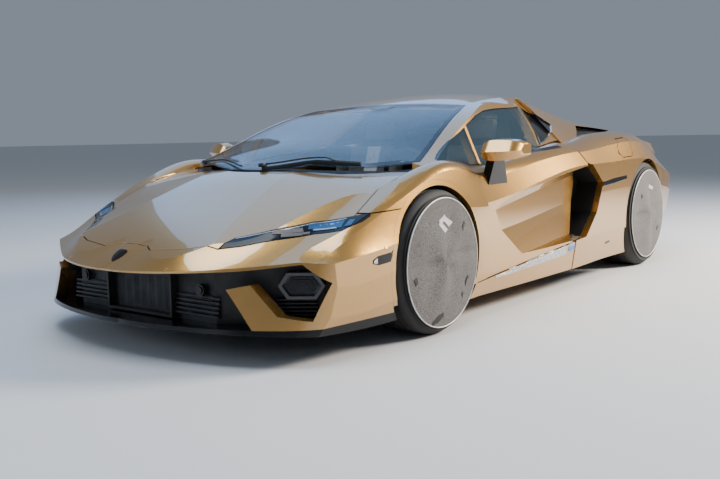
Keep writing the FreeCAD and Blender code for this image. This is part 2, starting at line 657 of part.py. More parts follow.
def make_roof_frame():
    """Windscreen pillars, roof rails and rear pillars: the fixed ring round the glass."""
    region = cabin_front.common(block(400, 1200, FRONT + 100, REAR - 1030 - GAP, 740, 1300))
    region = region.cut(screen_prism(FIT)).cut(roof_prism(FIT)).cut(side_prism(zone(side(SAIL_SIDE), FIT), 650))
    for outline, room in ((GLASS_SIDE, GAP), (QUARTERLIGHT_SIDE, FIT), (REAR_WINDOW_SIDE, FIT)):
        region = region.cut(side_prism(zone(side(outline), room), 500))
    region = region.cut(cabin_core).cut(front_body.common(block(0, 1200, -FAR, FRONT + 470, 0, HIGH)))
    return pair(biggest(region.cut(middle_skin.translated(V(0, 0, DOOR_GAP))).cut(door_sweep())))


def make_glass(outline):
    glass = cabin_front.common(side_prism(side(outline), 560))
    return biggest(glass.cut(glass_core).cut(front_body).cut(middle_skin))


def make_side_trim():
    """Black panes behind the doors and the sunk vents in the buttresses."""
    split = REAR - 1028
    pane = []
    for skin, start, end in ((cabin_front, -FAR, split), (cabin_rear, split, FAR)):
        piece = skin.translated(V(-9, 0, -4)).common(side_prism(side(REAR_WINDOW_SIDE), 450))
        pane.append(piece.cut(skin.translated(V(-26, 0, -12))).common(block(0, 1200, start, end, 700, HIGH)))
    vent = cabin_rear.translated(V(-26, 0, -10)).common(side_prism(zone(side(BUTTRESS_SIDE), -FIT), 556))
    vent = vent.cut(cabin_rear.translated(V(-60, 0, -20))).cut(nodes["quarter_panels"].Shape)
    return Part.makeCompound(pair(biggest(pane[0].fuse(pane[1]))).Solids + pair(biggest(vent)).Solids)


def turned(profile, x0):
    """A ring about a wheel's axis from its profile: distance outward from x0, radius."""
    points = [V(x0 + out, 0, radius) for out, radius in profile]
    return Part.Face(Part.makePolygon(points + points[:1])).revolve(V(0, 0, 0), V(1, 0, 0), 360)


AXLES = {
    "front": (FRONT, size("front_track") / 2, size("front_tyre_radius"), size("front_tyre_width"),
              size("front_rim_radius")),
    "rear": (REAR, size("rear_track") / 2, size("rear_tyre_radius"), size("rear_tyre_width"),
             size("rear_rim_radius")),
}


RIM_INSET = 14
RIM_DISH = 16


def tyre(axle):
    y, x, radius, width, rim = AXLES[axle]
    inner = x - width / 2
    wall = [(0.10, rim), (0.02, rim + 30), (0.0, rim + 55), (0.03, radius - 20), (0.09, radius - 5), (0.17, radius)]
    profile = [(width * share, r) for share, r in wall]
    profile += [(width * (1 - share), r) for share, r in reversed(wall)]
    return turned(profile, inner).translated(V(0, y, radius))


def hub_face(axle):
    """X of the plane where the wheel's boss meets the hub flange."""
    y, x, radius, width, barrel = AXLES[axle]
    return x + width / 2 - RIM_INSET - RIM_DISH - size("wheel_disc") - size("hub_depth")


def rim(axle):
    """Barrel, face and boss in one."""
    y, x, radius, width, barrel = AXLES[axle]
    inner = x - width / 2 + RIM_INSET
    outer = x + width / 2 - RIM_INSET
    face = outer - RIM_DISH
    wall, disc, boss = size("rim_wall"), size("wheel_disc"), size("hub_radius")
    profile = [(0, barrel), (outer - inner, barrel), (outer - inner, barrel - wall), (face - inner, barrel - wall),
               (face - inner, 20), (hub_face(axle) - inner, 20), (hub_face(axle) - inner, boss),
               (face - disc - inner, boss + 10), (face - disc - inner, barrel - wall), (0, barrel - wall)]
    ring = turned(profile, inner)
    for count in range(5):
        angle = math.radians(90 + 72 * count)
        hole = Part.makeCylinder(52, 90, V(face - 60, 165 * math.cos(angle), 165 * math.sin(angle)), V(1, 0, 0))
        ring = ring.cut(hole)
    return ring.translated(V(0, y, radius))


def wheel_cover(axle):
    """Round cover over the wheel's face, raised to a blunt cone."""
    y, x, radius, width, barrel = AXLES[axle]
    base = x + width / 2 - RIM_INSET + FIT
    edge, rise = size("cover_radius"), size("cover_rise")
    seat = 20 + FIT
    profile = [(0, 0), (0, barrel - 2), (seat - 6, barrel - 2), (seat - 6, edge), (seat, edge), (seat + 10, edge - 25),
               (rise, 30), (rise, 0)]
    return turned(profile, base).translated(V(0, y, radius))


KING_UP, KING_DOWN = 90, 84


def carrier(axle):
    """Hub carrier between the wishbones: upright bored for its pin, flange, brake disc and caliper."""
    y, x, radius, width, barrel = AXLES[axle]
    outer = hub_face(axle) - FIT
    pin = king_x(axle)
    wall = barrel - size("rim_wall")
    upright = block(pin - 30, pin + 18, y - 60, y + 60, radius - KING_DOWN + FIT, radius + KING_UP - FIT)
    flange = bar_x(size("hub_radius"), pin + 17, outer, y, radius)
    disc = bar_x(wall - 40, outer - 36, outer - 8, y, radius)
    disc = disc.cut(bar_x(size("hub_radius") - 5, outer - 40, outer, y, radius))
    caliper = block(outer - 62, outer + 14, y + 105, y + 180, radius - 100, radius + 100)
    link = block(pin - 10, outer - 37, y + 50, y + 120, radius - 60, radius + 60)
    bore = Part.makeCylinder(KING_PIN + FIT, 400, V(pin, y, radius - 200))
    return biggest(upright.fuse([flange, disc, link, caliper.cut(disc)]).cut(bore))


def king_x(axle):
    y, x, radius, width, barrel = AXLES[axle]
    return hub_face(axle) - size("kingpin_inset")


def make_suspension():
    """Wishbones from the tub to the hub carriers, each pair joined by the pin that the carrier turns on."""
    made = []
    for axle, frame_x in (("front", 465), ("rear", 430)):
        y, x, radius, width, barrel = AXLES[axle]
        pin = king_x(axle)
        inner = frame_x + FIT
        reach = 56 if axle == "front" else 150
        parts = [block(inner, inner + 26, y - 150, y + reach, radius - 120, radius + 122)]
        for height in (radius - KING_DOWN - 24, radius + KING_UP):
            legs = [(pin - 6, y - 13), (inner, y - 150), (inner, y - 108), (pin - 70, y), (inner, y + 12),
                    (inner, y + 54), (pin - 6, y + 13)]
            arm = top_prism(legs, height, height + 24)
            parts += [arm, Part.makeCylinder(15, 24, V(pin, y, height))]
        parts.append(Part.makeCylinder(KING_PIN, KING_UP + KING_DOWN + 40, V(pin, y, radius - KING_DOWN - 20)))
        made += pair(parts[0].fuse(parts[1:])).Solids
    return Part.makeCompound(made)


def make_liners():
    """Black wheel houses, front and rear, open below and outward, up to the inside of the panels."""
    made = []
    wall = size("liner_wall")
    front_reach = size("liner_radius")
    rear_reach = size("rear_arch_radius") + 20
    for axle, inner, reach, core, flat in (("front", 530, front_reach, front_core, 712),
                                           ("rear", 610, rear_reach, rear_core, 900)):
        y, x, radius, width, barrel = AXLES[axle]
        low = radius - 130
        outside = bar_x(reach + wall, inner - wall, 1100, y, radius)
        outside = outside.common(block(0, 1300, y - 600, y + 600, low, flat))
        inside = bar_x(reach, inner, 1200, y, radius)
        inside = inside.common(block(0, 1300, y - 600, y + 600, low - 5, flat - wall))
        house = outside.cut(inside).common(core)
        house = house.cut(block(inner - wall - 2, inner + 2, y - 170, y + 170, 0, radius + 150))
        made += pair(biggest(house.cut(nodes["headlamps"].Shape))).Solids
    return Part.makeCompound(made)


def make_underbody():
    """Cabin tub: floor, tunnel, front wall and side beams, hollow for the seats, with front and rear frames."""
    floor = size("floor_height")
    thick = size("floor_wall")
    half = size("door_inner") - 12
    top = floor + thick
    rear_end = REAR + 440 - FIT
    pieces = [
        block(0, half, FRONT + 480, REAR - 1130, floor + 4, top),
        block(0, 465, GRILLE_Y + FIT, FRONT + 480, floor + 4, top),
        block(0, 430, REAR - 1130, rear_end, floor + 4, top),
        block(0, 118, FRONT + 150, REAR - 1130, floor + 10, 380),
        block(0, 520, FRONT + 60, FRONT + 100, floor + 4, 690),
        block(480, 770, FRONT + 430, FRONT + 460, floor + 4, 690),
        block(480, 520, FRONT + 60, FRONT + 460, floor + 4, 690),
        block(480, half, FRONT + 430, FRONT + 480, floor + 4, top),
        block(half - 90, half, FRONT + 480, REAR - 1130, floor + 10, 330),
        block(425, 465, FRONT - 640, FRONT + 60, top - 4, 480),
        block(0, 465, FRONT - 640, FRONT - 600, top - 4, 440),
        block(390, 430, REAR - 1086 + FIT, REAR + 300, top - 4, 490),
        block(0, 430, REAR + 290, REAR + 330, top - 4, 490),
    ]
    for y in (FRONT + 620, REAR - 1200):
        pieces.append(block(670, 730, y - 30, y + 30, floor - JACK_DROP, floor + 6))
    return whole(pieces[0].fuse(pieces[1:]))


JACK_DROP = 6


def make_bulkhead():
    """Wall behind the seats, up to the inside of the roof, with the rear window's opening."""
    wall = block(0, size("door_inner") - 12, REAR - 1129, REAR - 1086, 172 + FIT, 800)
    wall = wall.cut(block(0, 480, REAR - 1200, REAR - 1000, 0, 172 + FIT))
    upper = cabin_core.common(block(-20, 600, REAR - 1129, REAR - 1086, 790, 1300))
    window = block(-10, 430, REAR - 1200, REAR - 1000, 905, 1060)
    return whole(wall.fuse(upper).cut(window))


def make_seats():
    seat = size("seat_half")
    low = size("floor_height") + size("floor_wall") + FIT
    cushion = side_prism([(FRONT + 800, low), (FRONT + 790, 330), (FRONT + 1180, 290), (FRONT + 1200, low)],
                         seat - 240, seat + 240)
    back = side_prism([(FRONT + 1170, 240), (FRONT + 1150, 330), (FRONT + 1330, 930), (FRONT + 1420, 930),
                       (FRONT + 1330, 240)], seat - 240, seat + 240)
    rest = side_prism([(FRONT + 1325, 900), (FRONT + 1355, 1040), (FRONT + 1430, 1040), (FRONT + 1410, 900)],
                      seat - 130, seat + 130)
    bolster = [(FRONT + 800, low), (FRONT + 780, 380), (FRONT + 1150, 400), (FRONT + 1280, 800), (FRONT + 1330, 240),
               (FRONT + 1200, low)]
    sides = [side_prism(bolster, seat + x, seat + x + 62) for x in (-262, 200)]
    return pair(cushion.fuse([back, rest] + sides))


def make_dashboard():
    """Dashboard across the cabin, its ends, and the console on the tunnel."""
    board = side_prism([(FRONT + 100 + FIT, 560), (FRONT + 100 + FIT, 690), (FRONT + 300, 752), (FRONT + 480, 735),
                        (FRONT + 500, 640), (FRONT + 380, 560)], 0, 480 - FIT)
    wing = side_prism([(FRONT + 464, 600), (FRONT + 464, 735), (FRONT + 560, 720), (FRONT + 560, 620)], 0, 768)
    console = side_prism([(FRONT + 380, 380 + FIT), (FRONT + 380, 640), (FRONT + 600, 600), (FRONT + 760, 440),
                          (FRONT + 1120, 440), (FRONT + 1120, 380 + FIT)], 0, 96)
    ledge = side_prism([(FRONT + 100 + FIT, 690 + FIT), (FRONT + 60, 690 + FIT), (FRONT - 60, 722), (FRONT + 300, 742),
                        (FRONT + 300, 700)], 0, 470)
    socket = wheel_axis_bar(30, -150, -80)
    bore = wheel_axis_bar(22 + FIT, -110, 0)
    board = whole(board.fuse([wing, console, ledge]))
    return board.fuse(socket).cut(bore)


def wheel_axis_bar(radius, start, end):
    """A round bar on the steering wheel's axis, placed along it from the wheel's middle."""
    bar = Part.makeCylinder(radius, end - start, V(0, 0, start))
    return on_wheel_axis(bar)


def on_wheel_axis(shape):
    turned_shape = shape.copy()
    turned_shape.rotate(V(0, 0, 0), V(1, 0, 0), STEER_TILT - 90)
    return turned_shape.translated(V(size("seat_half"), STEER_Y, STEER_Z))


def make_steering_wheel():
    ring = Part.makeTorus(size("steering_wheel_radius"), 15)
    hub = Part.makeCylinder(58, 46, V(0, 0, -30))
    spoke = block(-180, 180, -22, 22, -8, 8)
    column = Part.makeCylinder(22, 75, V(0, 0, -104))
    return on_wheel_axis(ring.fuse([hub, spoke, column]))


def make_side_intakes():
    """Black duct behind each door, open to the front, seated on the inside of the rear quarter."""
    outline = side([("R", -1060, 752), ("R", -940, 740), ("R", -778, 622), ("R", -868, 440), ("R", -1018, 302),
                    ("R", -1110, 310)])
    duct = side_prism(zone(outline, 26), 804, 1100).cut(side_prism(outline, 818, 1200))
    duct = duct.common(rear_core).cut(door_prism(DOOR_GAP))
    return pair(biggest(duct))


# The mirror head's sections: x, then front, rear, foot and top.
MIRROR = [
    (925, 455, 520, 822, 872), (960, 425, 565, 805, 905), (1030, 440, 600, 803, 912), (1090, 470, 630, 812, 905),
    (1118, 530, 640, 835, 885),
]


def make_mirror_head():
    wires = []
    for x, front, back, low, high in MIRROR:
        reach, rise = back - front, high - low
        shares = [(0, 0.42), (0.25, 0), (1, 0.06), (1, 0.86), (0.7, 1), (0.28, 0.95)]
        points = [V(x, FRONT + front + reach * along_y, low + rise * up) for along_y, up in shares]
        wires.append(Part.makePolygon(points + points[:1]))
    return biggest(loft(wires).cut(middle_skin))


def make_mirror_arm(head):
    """Black fin that carries the mirror head on the door."""
    wires = []
    for x0, x1, front, back, z in ((905, 950, 500, 700, 680), (952, 1000, 490, 566, 840)):
        y0, y1 = FRONT + front, FRONT + back
        points = [V(x0, y0, z), V(x1, y0, z), V(x1, y1, z), V(x0, y1, z)]
        wires.append(Part.makePolygon(points + points[:1]))
    fin = loft(wires, True)
    return biggest(fin.cut(head).cut(middle_skin))


# The engine's blocks: name, length, width, height, and x, start from the rear axle and foot of each.
ENGINE = [
    ("engine_block", "Sizes.engine_length", "Sizes.engine_width", "Sizes.engine_height", 0, -880, 0),
    ("gearbox", "Sizes.gearbox_length", "Sizes.gearbox_width", "Sizes.engine_height * 0.56", 0, -131, 0),
    ("left_head_cover", "Sizes.engine_length - 130", "190", "80", 175, -820, 547),
    ("right_head_cover", "Sizes.engine_length - 130", "190", "80", -175, -820, 547),
]


def make_engine():
    """Block, gearbox and head covers as boxes that follow the sheet, fused into one."""
    rear_axle = "(Sizes.front_overhang + Sizes.wheelbase - Sizes.rear_overhang) / 2"
    boxes = []
    for name, length, width, height, x, start, foot in ENGINE:
        box = doc.addObject("Part::Box", name)
        box.setExpression("Length", width)
        box.setExpression("Width", length)
        box.setExpression("Height", height)
        box.setExpression("Placement.Base.x", "%g - (%s) / 2" % (x, width))
        box.setExpression("Placement.Base.y", "%s + %g" % (rear_axle, start))
        box.setExpression("Placement.Base.z", "Sizes.floor_height + Sizes.floor_wall + %g" % (foot + FIT))
        boxes.append(box)
    engine = doc.addObject("Part::MultiFuse", "engine")
    engine.Shapes = boxes
    engine.Label = "engine"
    doc.recompute()
    nodes["engine"] = engine


DIFFUSER_TOP = 322
EXHAUST_RADIUS = 58
EXHAUST_X = 118
EXHAUST_Z = 520


def make_diffuser():
    """Rising plate under the tail with upright fins."""
    plate = side_prism([(REAR + 440, 146), (REAR + 440, 172), (TAIL - 20, DIFFUSER_TOP), (TAIL - 20, 300)], 0, 700)
    fins = []
    for x in (100, 270, 440, 610):
        fin = [(REAR + 500, 150), (REAR + 520, 190), (TAIL - 30, 316), (TAIL - 24, 190)]
        fins.append(side_prism(fin, x, x + 12))
    return whole(plate.fuse(fins))


def make_tail_lamps():
    """Six-sided tail lamps, each a ring on the black wall."""
    ring = [(-100, 0), (-62, 46), (62, 46), (100, 0), (62, -46), (-62, -46)]
    inner = [(x * 0.72, z * 0.62) for x, z in ring]
    lamp = front_prism(ring, 0, 34).cut(front_prism(inner, 14, 60))
    return pair(lamp.translated(V(640, TAIL - 40 + FIT, 560)))


def make_exhaust():
    """Two tail pipes from the silencer, through the black wall."""
    reach = TAIL - 12
    start = REAR + 330 + FIT
    outside = Part.makeCylinder(EXHAUST_RADIUS, reach - start, V(EXHAUST_X, start, EXHAUST_Z), V(0, 1, 0))
    inside = Part.makeCylinder(EXHAUST_RADIUS - 6, 220, V(EXHAUST_X, reach - 220, EXHAUST_Z), V(0, 1, 0))
    box = block(0, 330, start, start + 180, 400, 600)
    return whole(outside.fuse(box).cut(inside))


def make_wipers():
    """Two parked blades that follow the foot of the windscreen."""
    cover = cabin_front.translated(V(0, 0, 13)).cut(cabin_front.translated(V(0, 0, FIT)))
    blades = []
    for start, end in (((70, -246), (560, -62)), ((-600, -20), (-90, -238))):
        line = [start, (start[0] - 4, start[1] + 15), (end[0] - 4, end[1] + 12), end]
        blades += cover.common(top_prism(plan(line), 600)).Solids
    return Part.makeCompound(blades)


door = make_door()
door_glass = make_glass(GLASS_SIDE)
mirror_head = make_mirror_head()
mirror_arm = make_mirror_arm(mirror_head)
fixed = {
    "front_grille": make_front_grille, "hood": make_hood, "headlamps": make_headlamps, "fenders": make_fenders,
    "front_bumper": make_bumper, "front_splitter": make_splitter, "corner_lamps": make_corner_lamps,
    "arch_lips": make_arch_lips, "sills": make_sills, "fuel_flap": make_fuel_flap, "quarter_panels": make_quarters,
    "rear_bumper": make_rear_bumper, "rear_grille": make_rear_grille, "rear_spoiler": make_spoiler,
    "engine_cover": make_engine_cover, "engine_louvres": make_louvres, "windscreen": make_windscreen,
    "cowl": make_cowl, "roof": make_roof, "roof_frame": make_roof_frame, "side_trim": make_side_trim,
    "underbody": make_underbody, "bulkhead": make_bulkhead, "seats": make_seats, "dashboard": make_dashboard,
    "steering_wheel": make_steering_wheel, "side_intakes": make_side_intakes,
    "diffuser": make_diffuser, "tail_lamps": make_tail_lamps, "exhaust": make_exhaust, "wipers": make_wipers,
    "wheel_liners": make_liners, "suspension": make_suspension,
}
for name, make in fixed.items():
    keep(name, make())
make_engine()
keep("quarterlights", pair(biggest(make_glass(QUARTERLIGHT_SIDE).cut(door_sweep()))))
for name, shape in (("door", door), ("door_glass", door_glass), ("mirror", mirror_head),
                    ("mirror_arm", mirror_arm)):
    keep(name + "_left", shape)
    keep(name + "_right", mirrored(shape))
for axle in AXLES:
    for name, make in (("tyre", tyre), ("rim", rim), ("cover", wheel_cover), ("carrier", carrier)):
        shape = make(axle)
        keep("%s_%s_left" % (name, axle), shape)
        keep("%s_%s_right" % (name, axle), mirrored(shape))

doc.recompute()
failed = []
for name, obj in nodes.items():
    if obj.Shape.isNull() or not obj.Shape.isValid() or not obj.Shape.Solids:
        failed.append(name)
failed += [obj.Name for obj in doc.Objects if "Invalid" in obj.State or "Error" in obj.State]
if failed:
    raise RuntimeError("not built: " + ", ".join(failed))
os.makedirs("parts", exist_ok=True)
for name, obj in nodes.items():
    obj.Shape.exportStep("parts/%s.step" % name)
print(len(nodes), "nodes")
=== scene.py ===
"""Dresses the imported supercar: paint, glass, tyres, wheel covers, lamps, grilles, cabin, film and studio."""
import json
import math

import bmesh
import bpy
from mathutils import Euler, Matrix, Vector, noise
from mathutils.bvhtree import BVHTree


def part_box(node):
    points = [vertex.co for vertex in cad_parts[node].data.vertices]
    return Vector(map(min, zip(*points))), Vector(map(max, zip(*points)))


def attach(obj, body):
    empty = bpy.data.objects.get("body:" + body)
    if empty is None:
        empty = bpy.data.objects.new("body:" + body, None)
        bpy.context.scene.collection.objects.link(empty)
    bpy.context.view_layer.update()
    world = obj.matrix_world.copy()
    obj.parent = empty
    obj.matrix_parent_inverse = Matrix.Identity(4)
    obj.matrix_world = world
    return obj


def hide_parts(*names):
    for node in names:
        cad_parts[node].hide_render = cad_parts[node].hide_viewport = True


bl_info = {
    "name": "Supercar dressing",
    "version": (1, 0, 0),
    "blender": (4, 5, 0),
    "location": "View3D > Sidebar > Supercar",
    "description": "Adds the finishes and fine pieces of a mid-engined supercar to its packed solids",
    "category": "Object",
}

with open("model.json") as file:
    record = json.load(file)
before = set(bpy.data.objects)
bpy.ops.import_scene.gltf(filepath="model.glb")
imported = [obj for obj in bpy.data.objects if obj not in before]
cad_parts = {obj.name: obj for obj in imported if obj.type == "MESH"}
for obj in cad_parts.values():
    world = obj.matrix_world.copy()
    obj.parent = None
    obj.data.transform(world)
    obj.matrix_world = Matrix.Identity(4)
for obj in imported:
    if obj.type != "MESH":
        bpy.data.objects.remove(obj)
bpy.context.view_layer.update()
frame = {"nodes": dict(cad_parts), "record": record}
NODES = frame["nodes"]
SLOTS = {part["node"]: part["material_slot"] for part in frame["record"]["subparts"]}
JOINTS = {joint["name"]: joint for joint in frame["record"]["behaviour"]["joints"]}
FRONT = JOINTS["steer_left"]["pos_m"][1]
REAR = JOINTS["wheel_rear_left_spin"]["pos_m"][1]
SIDES = (("left", 1), ("right", -1))
AXLES = ("front", "rear")
X_AXIS, Y_AXIS, Z_AXIS = Vector((1, 0, 0)), Vector((0, 1, 0)), Vector((0, 0, 1))

# Places that several pieces share, in metres: the seats' centre line, the doors' inner face,
# and where rays start beside, above, and ahead of or behind the car.
SEAT = 0.386
DOOR_INNER = 0.812
BESIDE, ABOVE, BEYOND = 1.5, 1.6, 2.8


# Shared helpers

def settings(context):
    return context.scene.supercar


FINISH = {}


def place(bm, name, body, slot, covers=(), smooth=35):
    """Finishes a bmesh as a piece: normals out, finish, ride, and the nodes that it stands for."""
    bmesh.ops.remove_doubles(bm, verts=bm.verts, dist=1e-6)
    bmesh.ops.recalc_face_normals(bm, faces=bm.faces)
    mesh = bpy.data.meshes.new(name)
    bm.to_mesh(mesh)
    bm.free()
    piece = bpy.data.objects.new(name, mesh)
    bpy.context.scene.collection.objects.link(piece)
    mesh.materials.append(FINISH[slot])
    for polygon in mesh.polygons:
        polygon.use_smooth = smooth > 0
    if smooth > 0:
        mesh.set_sharp_from_angle(angle=math.radians(smooth))
    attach(piece, body)
    if covers:
        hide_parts(*covers)
    return piece


def add_box(bm, low, high, turn=None, soft=0.0):
    """A box between two corners, turned about its middle, with soft as the width of its edge bevels."""
    low, high = Vector(low), Vector(high)
    middle = (low + high) / 2
    made = bmesh.ops.create_cube(bm, size=1.0,
                                 matrix=Matrix.Translation(middle) @ Matrix.Diagonal((*(high - low), 1)))
    verts = made["verts"]
    if soft > 0:
        edges = list({edge for vert in verts for edge in vert.link_edges})
        cut = bmesh.ops.bevel(bm, geom=edges, offset=soft, segments=2, profile=0.5, affect="EDGES",
                              material=-1)
        verts = cut["verts"]
    if turn is not None:
        bmesh.ops.rotate(bm, verts=verts, cent=middle, matrix=turn)


def add_plate(bm, points, push):
    """A flat outline pushed out into a plate."""
    face = bm.faces.new([bm.verts.new(point) for point in points])
    made = bmesh.ops.extrude_face_region(bm, geom=[face])
    verts = [item for item in made["geom"] if isinstance(item, bmesh.types.BMVert)]
    bmesh.ops.translate(bm, verts=verts, vec=push)


def six_sided(half, rise, shoulder=0.62):
    """A flat six-sided outline with points at its two ends, as pairs of (across, up)."""
    return [(-half, 0), (-half * shoulder, rise), (half * shoulder, rise), (half, 0),
            (half * shoulder, -rise), (-half * shoulder, -rise)]


def set_down(bm, turn, middle):
    """Turns all forms about the origin and moves them to their place."""
    bmesh.ops.rotate(bm, verts=bm.verts, cent=(0, 0, 0), matrix=turn)
    bmesh.ops.translate(bm, verts=bm.verts, vec=middle)


def flip(bm):
    """Puts all forms on the other side of the car."""
    bmesh.ops.scale(bm, vec=(-1, 1, 1), verts=bm.verts)


def turned(point, heading):
    """The matrix that sets a form made along Z on a point, along a heading."""
    return Matrix.Translation(point) @ Z_AXIS.rotation_difference(heading).to_matrix().to_4x4()


def add_lathe(bm, profile, steps, centre, axis=X_AXIS):
    """A ring about the axis from a closed profile of (distance along the axis, radius)."""
    verts = [bm.verts.new((along, 0, radius)) for along, radius in profile]
    edges = [bm.edges.new((a, b)) for a, b in zip(verts, verts[1:] + verts[:1])]
    bmesh.ops.spin(bm, geom=verts + edges, cent=(0, 0, 0), axis=(1, 0, 0), angle=math.tau, steps=steps,
                   use_merge=True)
    set_down(bm, X_AXIS.rotation_difference(axis).to_matrix(), centre)


def add_tube(bm, points, radius, sides=8):
    """A round bar through the points."""
    rings = []
    for index, point in enumerate(points):
        before = points[max(index - 1, 0)]
        after = points[min(index + 1, len(points) - 1)]
        heading = (Vector(after) - Vector(before)).normalized()
        made = bmesh.ops.create_circle(bm, cap_ends=False, radius=radius, segments=sides,
                                       matrix=turned(point, heading))
        rings.append(made["verts"])
    for near, far in zip(rings, rings[1:]):
        for index in range(sides):
            other = (index + 1) % sides
            bm.faces.new((near[index], near[other], far[other], far[index]))
    bm.faces.new(rings[0][::-1])
    bm.faces.new(rings[-1])


TREES = {}


def hit(names, start, heading):
    """Where a ray first meets the named solids: point, normal towards the ray, and distance."""
    best = None
    for name in names:
        if name not in TREES:
            mesh = NODES[name].data
            corners = [vert.co.copy() for vert in mesh.vertices]
            TREES[name] = BVHTree.FromPolygons(corners, [tuple(face.vertices) for face in mesh.polygons])
        point, normal, _, distance = TREES[name].ray_cast(start, heading)
        if point is not None and (best is None or distance < best[2]):
            best = (point, -normal if normal.dot(heading) > 0 else normal, distance)
    return best


def aim(view, across, up):
    """A ray through a spot of the side, plan, front or rear view. Lengths run from the front axle."""
    if view == "side":
        return Vector((BESIDE, FRONT + across, up)), -X_AXIS
    if view == "plan":
        return Vector((across, FRONT + up, ABOVE)), -Z_AXIS
    ahead = -1 if view == "front" else 1
    return Vector((across, ahead * BEYOND, up)), -ahead * Y_AXIS


def add_slab(bm, tops, feet):
    """A closed thin form between two grids of points."""
    grids = [[[bm.verts.new(point) for point in row] for row in grid] for grid in (tops, feet)]
    for grid in grids:
        for one, two in zip(grid, grid[1:]):
            for index in range(len(one) - 1):
                bm.faces.new((one[index], one[index + 1], two[index + 1], two[index]))
    rims = [grid[0] + [row[-1] for row in grid[1:]] + grid[-1][-2::-1] + [row[0] for row in grid[-2:0:-1]]
            for grid in grids]
    for index, (top, foot) in enumerate(zip(*rims)):
        after = (index + 1) % len(rims[0])
        bm.faces.new((top, rims[0][after], rims[1][after], foot))


# How fast a rippled strip's waves run along X, Y and Z, and how far on a ray that misses looks for a solid.
RIPPLE = (20, 45, 60)
MISS = 0.5


def drape(bm, names, pairs, view="side", lift=0.0003, thick=0.0012, along=4, across=3, ripple=0.0):
    """A thin strip laid on the named solids, from pairs of spots on its two long edges."""
    rows = []
    for one, two in zip(pairs, pairs[1:]):
        rows += [[Vector(a).lerp(Vector(b), step / along) for a, b in zip(one, two)]
                 for step in range(along)]
    rows.append([Vector(spot) for spot in pairs[-1]])
    tops, feet, last = [], [], None
    for edge, other in rows:
        top, foot = [], []
        for step in range(across + 1):
            start, heading = aim(view, *edge.lerp(other, step / across))
            found = hit(names, start, heading)
            if found is None:
                reach = last[2] if last else MISS
                point, normal, _, _ = TREES[names[0]].find_nearest(start + heading * reach)
                found = (point, -normal if normal.dot(heading) > 0 else normal, reach)
            point, normal, _ = last = found
            wave = ripple * abs(noise.noise(point * Vector(RIPPLE)))
            foot.append(point + normal * lift)
            top.append(point + normal * (lift + thick + wave))
        tops.append(top)
        feet.append(foot)
    add_slab(bm, tops, feet)


def mirror_over(bm):
    """Adds the same forms on the other side of the car."""
    copy = bmesh.ops.duplicate(bm, geom=bm.faces[:])
    verts = [item for item in copy["geom"] if isinstance(item, bmesh.types.BMVert)]
    bmesh.ops.scale(bm, vec=(-1, 1, 1), verts=verts)


def strips(name, body, slot, nodes, sets, sides="both", **ways):
    """Draped strips as one piece: on both sides, on the left only, or one piece for each side's own body."""
    for side, sign in SIDES if sides == "each" else SIDES[:1]:
        bm = bmesh.new()
        own = [node % "left" if "%" in node else node for node in nodes]
        for pairs in sets:
            drape(bm, own, pairs, **ways)
        if sides == "both":
            mirror_over(bm)
        if sign < 0:
            flip(bm)
        full = name if sides != "each" else "%s_%s" % (name, side)
        place(bm, full, body % side if "%" in body else body, slot, smooth=40)


def at(x, ahead, z, axle="F"):
    """A point given from an axle, in metres."""
    return Vector((x, (FRONT if axle == "F" else REAR) + ahead, z))


# Materials

class Finish:
    """A Principled material with a few nodes for its grain."""

    # The middle stretch of a noise, which holds nearly all of its values.
    SPREAD = (0.3, 0.7)

    def __init__(self, name, color, rough, metal=0.0, **sockets):
        self.material = bpy.data.materials.new(name)
        self.material.use_nodes = True
        self.tree = self.material.node_tree
        self.shader = self.tree.nodes["Principled BSDF"]
        self.set("Base Color", (*color, 1.0))
        self.set("Roughness", rough)
        self.set("Metallic", metal)
        for socket, value in sockets.items():
            self.set(socket.replace("_", " "), value)
        self.coords = self.tree.nodes.new("ShaderNodeTexCoord").outputs["Object"]

    def set(self, socket, value):
        """A value that is the same all over goes on the shader's own socket."""
        self.shader.inputs[socket].default_value = value

    def node(self, kind, **inputs):
        """A node with its inputs set or linked."""
        made = self.tree.nodes.new("ShaderNode" + kind)
        for key, value in inputs.items():
            socket = made.inputs[key.replace("_", " ")]
            if isinstance(value, bpy.types.NodeSocket):
                self.tree.links.new(value, socket)
            else:
                socket.default_value = value
        return made

    def link(self, source, socket):
        self.tree.links.new(source, self.shader.inputs[socket])

    def noise(self, scale, detail=3.0, stretch=(1, 1, 1)):
        mapped = self.node("Mapping", Vector=self.coords, Scale=stretch).outputs["Vector"]
        return self.node("TexNoise", Vector=mapped, Scale=scale, Detail=detail).outputs["Fac"]

    def ramp(self, source, stops):
        ramp = self.node("ValToRGB", Fac=source)
        ramp.color_ramp.elements.remove(ramp.color_ramp.elements[0])
        ramp.color_ramp.elements[0].position, ramp.color_ramp.elements[0].color = stops[0]
        for position, color in stops[1:]:
            ramp.color_ramp.elements.new(position).color = color
        return ramp.outputs["Color"]

    def tint(self, source, low, high, start=0.35, end=0.65):
        self.link(self.ramp(source, [(start, (*low, 1)), (end, (*high, 1))]), "Base Color")

    def rough_between(self, source, low, high):
        span = self.node("MapRange", Value=source, From_Min=self.SPREAD[0], From_Max=self.SPREAD[1],
                         To_Min=low, To_Max=high)
        self.link(span.outputs["Result"], "Roughness")

    def bump(self, source, depth, strength=1.0):
        bump = self.node("Bump", Height=source, Distance=depth, Strength=strength)
        self.link(bump.outputs["Normal"], "Normal")


def shade(color, factor):
    """A colour made lighter or darker."""
    return tuple(min(1.0, part * factor) for part in color)


